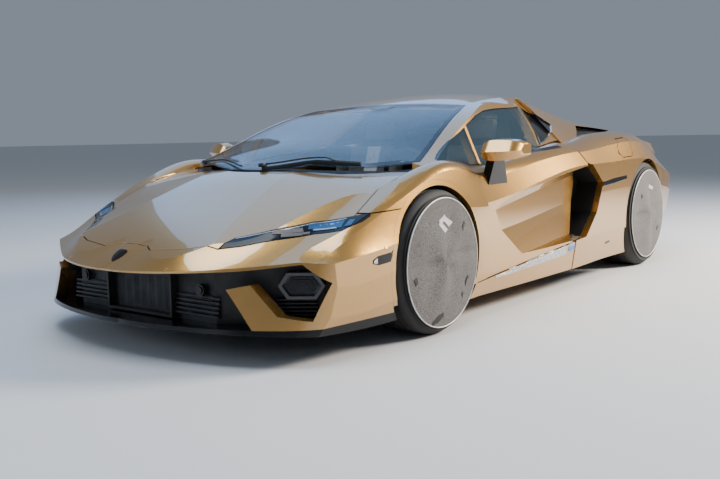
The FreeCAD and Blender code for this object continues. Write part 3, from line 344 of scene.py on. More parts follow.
def make_finishes(colors):
    """Every finish, by the slot in the record or the small piece that wears it."""
    made = {}
    paint = Finish("gold_bronze_paint", colors.paint, 0.27, 0.82,
                   Coat_Weight=1.0, Coat_Roughness=0.03, Coat_IOR=1.75)
    paint.tint(paint.noise(900, 1.0), shade(colors.paint, 0.86), shade(colors.paint, 1.16))
    paint.bump(paint.noise(1400, 1.0), 0.0002, 0.12)
    made["body_paint"] = paint
    gloss = Finish("gloss_black", (0.006, 0.006, 0.007), 0.16, 0.0, Specular_IOR_Level=0.3)
    gloss.rough_between(gloss.noise(30), 0.12, 0.22)
    made["gloss_black"] = gloss
    matte = Finish("satin_black_plastic", (0.009, 0.009, 0.01), 0.55)
    matte.bump(matte.noise(1200, 2.0), 0.0006, 0.4)
    matte.rough_between(matte.noise(18), 0.42, 0.62)
    made["matte_black"] = matte
    ring = Finish("grey_lamp_ring", (0.07, 0.07, 0.075), 0.28, 0.4)
    ring.rough_between(ring.noise(60), 0.24, 0.38)
    made["lamp_ring"] = ring
    lens = Finish("dark_lens", (0.006, 0.007, 0.01), 0.08, 0.0, Specular_IOR_Level=0.25)
    lens.tint(lens.noise(14, 1.0, (1, 1, 3)), (0.004, 0.005, 0.007), (0.012, 0.018, 0.032), 0.45, 0.75)
    made["dark_lens"] = lens
    red = Finish("red_lens", (0.25, 0.008, 0.008), 0.12, 0.0, Coat_Weight=1.0)
    red.bump(red.noise(160, 0.0), 0.001, 0.4)
    made["red_lens"] = red
    glass = Finish("tinted_glass", colors.glass, 0.02, 0.0,
                   Alpha=0.34, Specular_IOR_Level=1.0, Coat_Weight=1.0)
    glass.tint(glass.noise(1.2, 0.0), shade(colors.glass, 0.9), shade(colors.glass, 1.05))
    made["glass"] = glass
    rubber = Finish("tyre_rubber", (0.014, 0.014, 0.014), 0.72)
    rubber.bump(rubber.noise(300, 4.0), 0.001, 0.35)
    rubber.tint(rubber.noise(9, 3.0), (0.011, 0.011, 0.011), (0.022, 0.021, 0.02))
    made["tyre"] = rubber
    dark = Finish("dark_rim", (0.05, 0.05, 0.053), 0.35, 0.8)
    dark.rough_between(dark.noise(40), 0.28, 0.42)
    made["dark_rim"] = dark
    felt = Finish("grey_felt", colors.felt, 0.95, 0.0, Sheen_Weight=0.15)
    felt.tint(felt.noise(210, 9.0), shade(colors.felt, 0.38), shade(colors.felt, 1.35), 0.38, 0.64)
    felt.bump(felt.noise(260, 6.0), 0.004, 0.8)
    made["felt"] = felt
    cast = Finish("cast_metal", (0.14, 0.14, 0.14), 0.6, 0.7)
    cast.bump(cast.noise(140, 4.0), 0.002, 0.5)
    made["cast_metal"] = cast
    alloy = Finish("forged_alloy", (0.42, 0.42, 0.44), 0.4, 0.9)
    alloy.rough_between(alloy.noise(60), 0.32, 0.5)
    made["aluminium"] = alloy
    steel = Finish("heat_tinted_steel", (0.4, 0.37, 0.33), 0.28, 1.0)
    steel.tint(steel.noise(14), (0.34, 0.27, 0.2), (0.46, 0.46, 0.5))
    made["steel"] = steel
    # Slot, name, colour, roughness and metal of the small plain pieces.
    for slot, name, color, rough, metal in (
            ("film", "silver_film", (0.55, 0.56, 0.6), 0.28, 0.55),
            ("tape", "blue_tape", (0.02, 0.22, 0.6), 0.55, 0.0),
            ("silver", "silver_tape", (0.62, 0.62, 0.62), 0.42, 0.35),
            ("mirror", "mirror_face", (0.75, 0.77, 0.8), 0.03, 1.0),
            ("lamp_blue", "lamp_reflector", (0.015, 0.09, 0.22), 0.2, 0.2),
            ("lamp_grey", "lamp_shade", (0.10, 0.085, 0.08), 0.35, 0.2),
            ("bright", "bright_moulding", (0.55, 0.56, 0.58), 0.2, 0.9),
            ("screen", "dark_display", (0.01, 0.012, 0.016), 0.08, 0.0),
            ("paper", "white_sheet", (0.8, 0.8, 0.78), 0.7, 0.0),
            # The splitter's bluish edge strip is a painted highlight: a sky reflection laid on as colour.
            ("edge_blue", "splitter_edge", (0.06, 0.09, 0.15), 0.2, 0.2)):
        plain = Finish(name, color, rough, metal)
        plain.tint(plain.noise(55, 4.0), shade(color, 0.82), shade(color, 1.12))
        plain.rough_between(plain.noise(90), rough * 0.8, min(1.0, rough * 1.25))
        made[slot] = plain
    made["film"].bump(made["film"].noise(70, 5.0, (1, 0.35, 1)), 0.01, 0.7)
    made["tape"].bump(made["tape"].noise(60, 3.0), 0.006, 0.5)
    pale = Finish("pale_cover_cloth", colors.cloth, 0.8, 0.0, Sheen_Weight=0.3)
    pale.tint(pale.noise(6, 4.0), shade(colors.cloth, 0.75), shade(colors.cloth, 1.1))
    pale.bump(pale.noise(900, 2.0), 0.001, 0.5)
    made["pale_leather"] = pale
    hide = Finish("dark_hide", (0.03, 0.03, 0.032), 0.55)
    hide.bump(hide.node("TexVoronoi", Vector=hide.coords, Scale=420.0).outputs["Distance"], 0.0008, 0.6)
    hide.tint(hide.noise(8), (0.024, 0.024, 0.026), (0.045, 0.044, 0.044))
    made["dark_leather"] = hide
    return made


# Properties

class SupercarSettings(bpy.types.PropertyGroup):
    paint: bpy.props.FloatVectorProperty(
        name="Paint", description="Colour of the body paint", subtype="COLOR", default=(0.52, 0.275, 0.06))
    glass: bpy.props.FloatVectorProperty(
        name="Glass", description="Tint of the glazing", subtype="COLOR", default=(0.03, 0.065, 0.095))
    felt: bpy.props.FloatVectorProperty(
        name="Felt", description="Colour of the wheel covers", subtype="COLOR", default=(0.135, 0.125, 0.118))
    cloth: bpy.props.FloatVectorProperty(
        name="Cloth", description="Colour of the seat covers", subtype="COLOR", default=(0.55, 0.53, 0.48))
    floor: bpy.props.FloatVectorProperty(
        name="Floor", description="Colour of the studio floor", subtype="COLOR", default=(0.62, 0.62, 0.63))
    mesh_pitch: bpy.props.FloatProperty(
        name="Mesh pitch", description="Height of one zigzag of the radiator mesh", unit="LENGTH",
        default=0.016)
    groove: bpy.props.FloatProperty(
        name="Tread groove", description="Depth of the tyres' grooves", unit="LENGTH", default=0.006)
    cover_wave: bpy.props.FloatProperty(
        name="Cover wave", description="Height of the wheel covers' folds", unit="LENGTH", default=0.011)
    key_light: bpy.props.FloatProperty(
        name="Key light", description="Power of the main studio light in watts", default=900.0)


class SUPERCAR_OT_finishes(bpy.types.Operator):
    """Gives every solid the finish that its record slot names"""
    bl_idname = "supercar.finishes"
    bl_label = "Finishes"

    def execute(self, context):
        FINISH.update({name: finish.material for name, finish in make_finishes(settings(context)).items()})
        for name, node in NODES.items():
            node.data.materials.clear()
            node.data.materials.append(FINISH[SLOTS[name]])
        return {"FINISHED"}


class SUPERCAR_OT_tyres(bpy.types.Operator):
    """Turns tyres with grooves and sidewall ribs in place of the plain ones"""
    bl_idname = "supercar.tyres"
    bl_label = "Tyres"

    # Across the tyre in shares of its half width: the grooves' middles, half of a groove at its foot
    # and at its mouth, and the shoulder.
    GROOVES = (-0.52, -0.18, 0.18, 0.52)
    FOOT, MOUTH = 0.045, 0.055
    SHOULDER = 0.7
    # How far the tread lies inside the solid tyre, and how much lower its shoulders are.
    SKIN, DROP = 0.0012, 0.002
    STEPS = 72

    def execute(self, context):
        for axle in AXLES:
            for side, _ in SIDES:
                self.tread(axle, side, settings(context).groove)
        return {"FINISHED"}

    def tread(self, axle, side, groove):
        node = "tyre_%s_%s" % (axle, side)
        low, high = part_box(node)
        half, radius = (high.x - low.x) / 2, (high.z - low.z) / 2
        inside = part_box("rim_%s_%s" % (axle, side))
        rim = (inside[1].z - inside[0].z) / 2
        wall = [(-0.82, rim + 0.001), (-0.94, rim + 0.02), (-1.0, rim + 0.045), (-0.985, rim + 0.055),
                (-0.995, rim + 0.06), (-0.93, radius - 0.034), (-0.84, radius - 0.011)]
        crown = []
        for middle in self.GROOVES:
            crown += [(middle - self.MOUTH, radius - self.SKIN), (middle - self.FOOT, radius - groove),
                      (middle + self.FOOT, radius - groove), (middle + self.MOUTH, radius - self.SKIN)]
        ends = [(hand * self.SHOULDER, radius - self.DROP) for hand in (-1, 1)]
        profile = wall + ends[:1] + crown + ends[1:] + [(-across, out) for across, out in reversed(wall)]
        bm = bmesh.new()
        add_lathe(bm, [(across * half, out) for across, out in profile], self.STEPS, (low + high) / 2)
        place(bm, "tread_%s_%s" % (axle, side), "wheel_%s_%s" % (axle, side), "tyre", [node], smooth=40)


class SUPERCAR_OT_wheel_covers(bpy.types.Operator):
    """Makes the felt wheel covers, blunt cones with soft folds, tape and slits"""
    bl_idname = "supercar.wheel_covers"
    bl_label = "Wheel covers"

    FELT = 0.003
    # Height of the felt's edge over the cover's inner face, and the room left over the cone's tip.
    EDGE, TIP = 0.020, 0.007
    STEPS, RINGS = 96, 14
    CLEAR = 0.001
    # How fast the soft folds run, and how strongly the folds, the three creases and the pleat show.
    FOLD_PITCH = 7
    FOLD, CREASE, PLEAT = 1.1, 2.56, 6.4
    # The pleat's half width, how far its line runs from the middle, and how much it leans.
    PLEAT_HALF, PLEAT_OFF, PLEAT_LEAN = 0.03, 0.02, 0.12
    # The bead round the edge, and how far it lies inside it.
    HEM, HEM_IN = 0.003, 0.0001
    # How far tape and slits stand proud of the felt and reach into it.
    PROUD, SUNK = 0.0022, 0.001
    # The felt's own area against its flat disc, for the rise of the cone.
    STRETCH = 1.01

    def execute(self, context):
        for axle in AXLES:
            for side, sign in SIDES:
                self.cover(axle, side, sign, settings(context).cover_wave)
        return {"FINISHED"}

    def cover(self, axle, side, sign, wave):
        node = "cover_%s_%s" % (axle, side)
        low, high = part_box(node)
        centre = (low + high) / 2
        centre.x = high.x if sign < 0 else low.x
        reach = high.x - low.x
        radius = (high.z - low.z) / 2 - self.CLEAR
        bm = bmesh.new()
        bmesh.ops.create_circle(bm, cap_ends=True, cap_tris=True, radius=radius, segments=self.STEPS)
        inner = [edge for edge in bm.edges if len(edge.link_faces) == 2]
        bmesh.ops.subdivide_edges(bm, edges=inner, cuts=self.RINGS, use_grid_fill=True)
        for vert in bm.verts:
            out = min(1.0, vert.co.length / radius)
            angle = math.atan2(vert.co.y, vert.co.x)
            rise = self.EDGE + (reach - self.EDGE - self.TIP) * (1 - out) ** 0.8
            fold = self.FOLD * noise.noise(Vector((vert.co.x * self.FOLD_PITCH, vert.co.y * self.FOLD_PITCH,
                                                   sign * 3.1 + REAR * (axle == "rear"))))
            crease = self.CREASE * math.cos(angle * 3 + 0.9) * (1 - out) * out
            aside = abs(vert.co.x * sign + self.PLEAT_OFF + vert.co.y * self.PLEAT_LEAN)
            pleat = self.PLEAT * max(0.0, 1 - aside / self.PLEAT_HALF) * (1 - out) * out
            rise += wave * (fold + crease - pleat) * (1 - out ** 6)
            vert.co.z = min(rise, reach - 2 * self.CLEAR)
        bmesh.ops.solidify(bm, geom=bm.faces[:], thickness=self.FELT)
        set_down(bm, Matrix.Rotation(math.radians(90 * sign), 3, "Y"), centre)
        tree = BVHTree.FromBMesh(bm)
        body = "wheel_%s_%s" % (axle, side)
        felt = place(bm, "felt_%s_%s" % (axle, side), body, "felt", [node], smooth=60)
        trims = [self.hem(axle, side, sign, centre, radius, body)]
        for index, (slot, spots) in enumerate(self.PATCHES[axle]):
            name = "%s_%s_%s_%d" % (slot, axle, side, index)
            trims.append(self.patch(tree, name, slot, sign, centre, radius, body, spots))

    # Slots and corners of the tape and slits, in shares of the radius towards the tail and up.
    PATCHES = {
        "front": [("silver", [(-0.16, 0.66), (0.02, 0.73), (0.08, 0.66), (-0.14, 0.60)]),
                  ("silver", [(0.0, 0.72), (0.24, 0.60), (0.14, 0.54), (-0.04, 0.66)]),
                  ("silver", [(-0.12, 0.64), (0.10, 0.50), (0.0, 0.46), (-0.18, 0.60)]),
                  ("matte_black", [(0.50, 0.52), (0.56, 0.60), (0.60, 0.56), (0.55, 0.50), (0.53, 0.44)]),
                  ("matte_black", [(0.60, -0.38), (0.66, -0.28), (0.71, -0.31), (0.66, -0.36),
                                   (0.63, -0.44)]),
                  ("matte_black", [(0.48, -0.55), (0.53, -0.52), (0.55, -0.57), (0.51, -0.62)]),
                  ("matte_black", [(-0.36, -0.88), (-0.22, -0.79), (-0.06, -0.76), (-0.05, -0.82),
                                   (-0.18, -0.89), (-0.33, -0.92)]),
                  ("matte_black", [(-0.83, -0.16), (-0.76, -0.13), (-0.74, -0.21), (-0.80, -0.25)])],
        "rear": [("silver", [(0.05, 0.66), (0.28, 0.60), (0.25, 0.53), (0.02, 0.58)]),
                 ("matte_black", [(0.52, -0.40), (0.58, -0.32), (0.62, -0.36), (0.56, -0.44)]),
                 ("matte_black", [(-0.5, 0.42), (-0.44, 0.47), (-0.40, 0.41), (-0.47, 0.36)])],
    }

    def hem(self, axle, side, sign, centre, radius, body):
        """The bead sewn round the cover's edge."""
        bm = bmesh.new()
        bead = [(sign * (self.EDGE + self.CLEAR + self.HEM * math.cos(turn)),
                 radius - self.HEM_IN - self.HEM + self.HEM * math.sin(turn))
                for turn in (math.tau * step / 8 for step in range(8))]
        add_lathe(bm, bead, self.STEPS, centre)
        return place(bm, "hem_%s_%s" % (axle, side), body, "silver", smooth=60)

    def patch(self, tree, name, slot, sign, centre, radius, body, spots):
        """A thin flat piece laid on the cover."""
        bm = bmesh.new()
        tops, feet = [], []
        for along, up in spots:
            start = centre + Vector((sign * radius, along * radius, up * radius))
            point = tree.ray_cast(start, -sign * X_AXIS)[0]
            tops.append(point + sign * X_AXIS * self.PROUD)
            feet.append(point - sign * X_AXIS * self.SUNK)
        rows = [[bm.verts.new(point) for point in row] for row in (tops, feet)]
        bm.faces.new(rows[0])
        bm.faces.new(rows[1][::-1])
        for index in range(len(spots)):
            after = (index + 1) % len(spots)
            bm.faces.new((rows[0][index], rows[1][index], rows[1][after], rows[0][after]))
        return place(bm, name, body, slot, smooth=0)


class SUPERCAR_OT_radiator_mesh(bpy.types.Operator):
    """Fills the middle of the mouth with zigzag wires and short slats between them"""
    bl_idname = "supercar.radiator_mesh"
    bl_label = "Radiator mesh"

    AHEAD = -0.952
    HALF_WIDTH = 0.238
    BOTTOM, TOP = 0.190, 0.338
    COLUMNS = 9
    WIRE, ZIGZAG = 0.0019, 0.0045
    # Half of a slat's height, its reach before and behind the wires, and its gap to them.
    SLAT, BEFORE, BEHIND, GAP = 0.0010, 0.002, 0.004, 0.006

    def execute(self, context):
        y = FRONT + self.AHEAD
        width = 2 * self.HALF_WIDTH / self.COLUMNS
        rows = 2 * int((self.TOP - self.BOTTOM) / settings(context).mesh_pitch)
        step = (self.TOP - self.BOTTOM) / rows
        bm = bmesh.new()
        for column in range(self.COLUMNS + 1):
            x = -self.HALF_WIDTH + column * width
            spots = [Vector((x + (self.ZIGZAG if row % 2 else -self.ZIGZAG), y, self.BOTTOM + row * step))
                     for row in range(rows + 1)]
            add_tube(bm, spots, self.WIRE, 5)
        for column in range(self.COLUMNS):
            x = -self.HALF_WIDTH + column * width
            for row in range(rows):
                z = self.BOTTOM + (row + 0.5) * step
                add_box(bm, (x + self.GAP, y - self.BEFORE, z - self.SLAT),
                        (x + width - self.GAP, y + self.BEHIND, z + self.SLAT))
        place(bm, "radiator_slats", "chassis", "matte_black", smooth=0)
        return {"FINISHED"}


class SUPERCAR_OT_lamps(bpy.types.Operator):
    """Lays the headlamp elements, facets the corner lamps, and adds the side and tail lamps"""
    bl_idname = "supercar.lamps"
    bl_label = "Lamps"

    def execute(self, context):
        lamp = {"view": "plan", "lift": 0.0004, "thick": 0.0022}
        edge = {"view": "plan", "thick": 0.0012, "across": 1}
        strips("lamp_lines", "chassis", "lamp_grey", ["headlamps"],
               [[((.600, -.735), (.612, -.752)), ((.690, -.645), (.712, -.662))],
                [((.640, -.726), (.652, -.742)), ((.735, -.648), (.745, -.664))]], **lamp)
        strips("lamp_reflectors", "chassis", "lamp_blue", ["headlamps"],
               [[((.700, -.612), (.716, -.640)), ((.780, -.548), (.800, -.584)),
                 ((.822, -.516), (.842, -.570))],
                [((.842, -.508), (.850, -.560)), ((.866, -.500), (.872, -.540))]], **lamp)
        strips("lamp_lens_lights", "chassis", "bright", ["headlamps"],
               [[((.742, -.590), (.747, -.597)), ((.806, -.541), (.812, -.549))],
                [((.735, -.628), (.742, -.636)), ((.820, -.572), (.826, -.580))]], **lamp)
        strips("lamp_edge", "chassis", "bright", ["headlamps"],
               [[((.500, -.856), (.503, -.861)), ((.618, -.716), (.622, -.721)),
                 ((.705, -.596), (.709, -.601)), ((.818, -.501), (.822, -.506))]], **edge)
        strips("side_markers", "chassis", "gloss_black", ["front_bumper", "fenders"],
               [[((-.503, .412), (-.503, .396)), ((-.470, .427), (-.470, .388)),
                 ((-.352, .440), (-.352, .398)), ((-.340, .436), (-.340, .406))]], thick=0.002)
        strips("side_marker_tips", "chassis", "bright", ["front_bumper", "fenders"],
               [[((-.500, .409), (-.500, .399)), ((-.478, .420), (-.478, .396))]], lift=0.0024, thick=0.001)
        self.corner_cups()
        self.tail()
        return {"FINISHED"}

    # The corner lamps' place from the front axle and their turn: 290 mm back over 410 mm out.
    CORNER = (0.771, -0.741, 0.330)
    CORNER_TURN = math.atan2(290, 410)
    # Their steps as half width, rise and depth before the face, and the two bars across them.
    STEPS = ((0.072, 0.034, 0.012), (0.052, 0.024, 0.018), (0.026, 0.013, 0.021))
    FACE = -0.0295
    BAR_UP, BAR_HALF, BAR_WIDE = 0.022, 0.002, 0.05
    # The tail lamps' middle and the size of their six sides, with the shares and depths of their two steps.
    TAIL_X, TAIL_Z, TAIL_HALF, TAIL_RISE, TAIL_SQUAT = 0.64, 0.56, 0.1, 0.046, 0.9
    TAIL_STEPS = ((0.66, 0.010), (0.40, 0.016))
    TAIL_SET = 0.024

    def corner_cups(self):
        """Stepped reflector and lens bars inside each six-sided ring."""
        for side, sign in SIDES:
            bm = bmesh.new()
            for half, rise, depth in self.STEPS:
                add_plate(bm, [(x, self.FACE, z) for x, z in six_sided(half, rise)], (0, -depth, 0))
            for z in (-self.BAR_UP, self.BAR_UP):
                add_box(bm, (-self.BAR_WIDE, -0.046, z - self.BAR_HALF),
                        (self.BAR_WIDE, -0.030, z + self.BAR_HALF))
            set_down(bm, Matrix.Rotation(self.CORNER_TURN, 3, "Z"), at(*self.CORNER))
            if sign < 0:
                flip(bm)
            place(bm, "corner_lens_" + side, "chassis", "dark_lens", smooth=0)

    def tail(self):
        """Two steps inside each tail lamp."""
        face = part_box("tail_lamps")[1].y - self.TAIL_SET
        bm = bmesh.new()
        for scale, depth in self.TAIL_STEPS:
            outline = [(self.TAIL_X + x, face, self.TAIL_Z + z * self.TAIL_SQUAT)
                       for x, z in six_sided(self.TAIL_HALF * scale, self.TAIL_RISE * scale)]
            add_plate(bm, outline, (0, depth, 0))
        mirror_over(bm)
        place(bm, "tail_lamp_cores", "chassis", "red_lens", smooth=0)


class SUPERCAR_OT_flank(bpy.types.Operator):
    """Adds the film and tape on the sills, the door handles, the window mouldings and the flank's slots"""
    bl_idname = "supercar.flank"
    bl_label = "Flank details"

    def execute(self, context):
        strips("sill_film", "chassis", "film", ["sills"],
               [[((.560, .250), (.560, .190)), ((.70, .262), (.70, .192)), ((.86, .262), (.86, .198)),
                 ((1.02, .272), (1.02, .204)), ((1.20, .268), (1.20, .212)), ((1.375, .282), (1.375, .220))]],
               sides="left", thick=0.0012, along=8, across=6, ripple=0.006)
        strips("sill_tape", "chassis", "tape", ["sills", "quarter_panels"],
               [[((1.415, .300), (1.405, .238)), ((1.450, .312), (1.445, .230)),
                 ((1.490, .306), (1.480, .244))]], sides="left", thick=0.001, ripple=0.004)
        strips("door_handle", "door_%s_body", "gloss_black", ["door_%s"],
               [[((1.478, .704), (1.478, .697)), ((1.500, .712), (1.500, .694)),
                 ((1.546, .720), (1.546, .702)), ((1.566, .716), (1.566, .711))]], sides="each", thick=0.0012)
        strips("waist_trim", "chassis", "gloss_black", ["quarter_panels"],
               [[((1.873, .622), (1.873, .600)), ((2.05, .640), (2.05, .610)),
                 ((2.264, .650), (2.264, .628))]], thick=0.0012)
        strips("waist_lip", "chassis", "bright", ["quarter_panels"],
               [[((1.873, .599), (1.873, .595)), ((2.05, .609), (2.05, .605)),
                 ((2.264, .627), (2.264, .624))]], thick=0.002)
        strips("quarter_slots", "chassis", "gloss_black", ["quarter_panels", "sills"],
               [[((1.965, .231), (1.968, .219)), ((2.03, .237), (2.033, .225))]], thick=0.001)
        strips("rear_pillar_black", "chassis", "gloss_black", ["roof_frame", "side_trim", "quarter_panels"],
               [[((1.500, 1.092), (1.522, 1.098)), ((1.405, .970), (1.455, .985)),
                 ((1.290, .862), (1.345, .880))]], thick=0.0010, across=4)
        strips("rear_pillar_bright", "chassis", "bright", ["roof_frame", "side_trim", "quarter_panels"],
               [[((1.502, 1.088), (1.514, 1.094)), ((1.418, .968), (1.436, .975)),
                 ((1.304, .862), (1.322, .868))]], lift=0.0014, thick=0.0012, across=2)
        strips("window_foot", "door_%s_body", "gloss_black", ["door_%s", "door_glass_%s"],
               [[((.600, .792), (.600, .778)), ((.90, .824), (.90, .812)), ((1.20, .846), (1.20, .834)),
                 ((1.46, .862), (1.46, .850))]], sides="each", thick=0.0014, across=2)
        self.sensors()
        return {"FINISHED"}

    def sensors(self):
        """Small round parking sensors in the bumper, two each side."""
        bm = bmesh.new()
        for view, spot in (("side", (-.419, .461)), ("front", (.335, .405))):
            start, heading = aim(view, *spot)
            found = hit(["front_bumper", "fenders", "hood"], start, heading)
            if found:
                point, normal, _ = found
                bmesh.ops.create_cone(bm, cap_ends=True, segments=20, radius1=0.009, radius2=0.008,
                                      depth=0.002, matrix=turned(point + normal * 0.0008, normal))
        mirror_over(bm)
        place(bm, "parking_sensors", "chassis", "body_paint", smooth=30)


class SUPERCAR_OT_glazing(bpy.types.Operator):
    """Blacks the windscreen's edges and adds the blades, the mirrors' faces and the sheet behind the glass"""
    bl_idname = "supercar.glazing"
    bl_label = "Glazing"

    # The windscreen's foot and top in the plan view, as pairs of across and behind the front axle.
    FOOT = ((0, -.262), (.10, -.254), (.20, -.222), (.30, -.193), (.40, -.150), (.50, -.117),
            (.60, -.044), (.70, .047))
    TOP = ((0, .975), (.30, .965), (.50, .938))
    # The black edge's width at the foot, the top and the sides, its gap to the glass's edge, and its film.
    FOOT_WIDE, TOP_WIDE, SIDE_WIDE = 0.055, 0.045, 0.028
    TOP_GAP, SIDE_GAP = 0.006, 0.003
    FILM = 0.0008
    # Rays for the glass's side edge: their first row, pitch and number, and the widths searched.
    ROW_START, ROW_PITCH, ROWS = 0.06, 0.072, 13
    WIDEST, NARROWEST, STRIDE = 0.90, 0.3, 0.004

    def execute(self, context):
        film = {"slot": "gloss_black", "nodes": ["windscreen"], "view": "plan", "thick": self.FILM}
        foot = [((x, y), (x, y + self.FOOT_WIDE)) for x, y in self.FOOT]
        strips("screen_foot", "chassis", sets=[foot], along=5, **film)
        strips("screen_sides", "chassis", sets=[self.screen_side()], across=2, **film)
        top = [((x, y - self.TOP_GAP), (x, y - self.TOP_WIDE)) for x, y in self.TOP]
        strips("screen_top", "chassis", sets=[top], along=5, **film)
        strips("screen_camera", "chassis", "gloss_black", ["windscreen"],
               [[((0, .935), (0, .835)), ((.075, .93), (.055, .84))]], view="plan", thick=0.0009)
        self.blades()
        self.mirrors()
        self.sheet_behind()
        return {"FINISHED"}

    def screen_side(self):
        """Pairs of spots along the windscreen's side edge, stepping inwards until the glass is met."""
        pairs = []
        for step in range(self.ROWS):
            y = self.ROW_START + step * self.ROW_PITCH
            x = self.WIDEST
            while x > self.NARROWEST and hit(["windscreen"], *aim("plan", x, y)) is None:
                x -= self.STRIDE
            pairs.append(((x - self.SIDE_GAP, y), (x - self.SIDE_WIDE, y)))
        return pairs

    def blades(self):
        """Arm, hinge and blade of each wiper, parked above the windscreen's foot."""
        arm, lift, steps = 0.0042, 0.012, 12
        bm = bmesh.new()
        for start, end in (((-.60, -.005), (-.09, -.225)), ((.07, -.235), (.55, -.050))):
            spots = []
            for step in range(steps + 1):
                spot = Vector(start).lerp(Vector(end), step / steps)
                found = hit(["windscreen", "wipers", "cowl"], *aim("plan", *spot))
                if found:
                    spots.append(found[0] + Z_AXIS * lift)
            add_tube(bm, spots, arm, 6)
            hinge = spots[0]
            add_box(bm, hinge - Vector((.018, .018, .014)), hinge + Vector((.018, .018, .006)), soft=0.004)
        place(bm, "wiper_arms", "chassis", "matte_black", smooth=40)

    def sheet_behind(self):
        """A pale paper sheet that stands behind the windscreen on the dashboard."""
        foot = at(0.34, 0.30, 0.752)
        half, height, lean, bow, steps = 0.042, 0.13, 0.045, 0.004, 6
        thick = Vector((0, 0.0006, -0.0002))
        rows = []
        for rise in (step / steps for step in range(steps + 1)):
            back = rise * lean + bow * math.sin(rise * 3)
            rows.append([foot + Vector((across * half, back, rise * height))
                         for across in (-1, -0.33, 0.33, 1)])
        bm = bmesh.new()
        add_slab(bm, rows, [[point + thick for point in row] for row in rows])
        place(bm, "paper_sheet", "chassis", "paper", smooth=60)

    def mirrors(self):
        """The reflecting faces, set in the back of each mirror's head."""
        inner, outer = 0.955, 1.100
        for side, sign in SIDES:
            low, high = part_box("mirror_" + side)
            y = high.y - 0.004
            points = [(inner, y, low.z + .022), (outer - .01, y, low.z + .030), (outer, y, low.z + .060),
                      (outer - .02, y, high.z - .030), (inner + .01, y, high.z - .026)]
            bm = bmesh.new()
            add_plate(bm, points, (0, 0.0035, 0))
            if sign < 0:
                flip(bm)
            place(bm, "mirror_face_" + side, "door_%s_body" % side, "mirror", smooth=0)


class SUPERCAR_OT_mouth(bpy.types.Operator):
    """Adds the round sensors in the mouth, the duct's waves, the blank badge and a painted bluish highlight
    along the splitter's edge
    """
    bl_idname = "supercar.mouth"
    bl_label = "Mouth details"

    def execute(self, context):
        self.sensors()
        self.waves()
        shield = [((0, -1.056), (0.0, -1.122)), ((.022, -1.056), (.012, -1.114)),
                  ((.031, -1.060), (.024, -1.100)), ((.033, -1.066), (.031, -1.084))]
        strips("badge_blank", "hood_lid", "gloss_black", ["hood", "front_bumper"], [shield], view="plan",
               thick=0.002, across=4)
        # A thin bluish strip on the splitter's front edge: a painted highlight that stands in for a sky
        # reflection.
        strips("splitter_edge", "chassis", "edge_blue", ["front_splitter"],
               [[((x, .128), (x, .122)) for x in (0, .2, .4, .6, .75, .85)]], view="front",
               thick=0.0012, across=1)
        return {"FINISHED"}

    def sensors(self):
        """A stepped round sensor on each side of the mouth."""
        turn = Matrix.Rotation(math.radians(90), 4, "X")
        bm = bmesh.new()
        for x in (-0.40, 0.40):
            for radius, rear, front in ((0.028, -0.968, -0.982), (0.018, -0.982, -0.987)):
                middle = at(x, (rear + front) / 2, 0.303)
                bmesh.ops.create_cone(bm, cap_ends=True, segments=28, radius1=radius, radius2=radius * 0.94,
                                      depth=rear - front, matrix=Matrix.Translation(middle) @ turn)
        place(bm, "mouth_sensors", "chassis", "gloss_black", smooth=30)

    def waves(self):
        """Wavy bars across the ducts beside the radiator."""
        inner, ahead, bottom, pitch, stride, bar = 0.255, -0.962, 0.196, 0.0165, 0.026, 0.0034
        bm = bmesh.new()
        for sign in (1, -1):
            for row in range(6):
                spots = []
                for step in range(9):
                    y = ahead + 0.0035 * math.sin(step * 1.1 + row)
                    z = bottom + row * pitch + 0.002 * math.sin(step * 0.9 + row * 0.7)
                    spots.append(at(sign * (inner + step * stride), y, z))
                add_tube(bm, spots, bar, 6)
        place(bm, "duct_waves", "chassis", "matte_black", smooth=40)


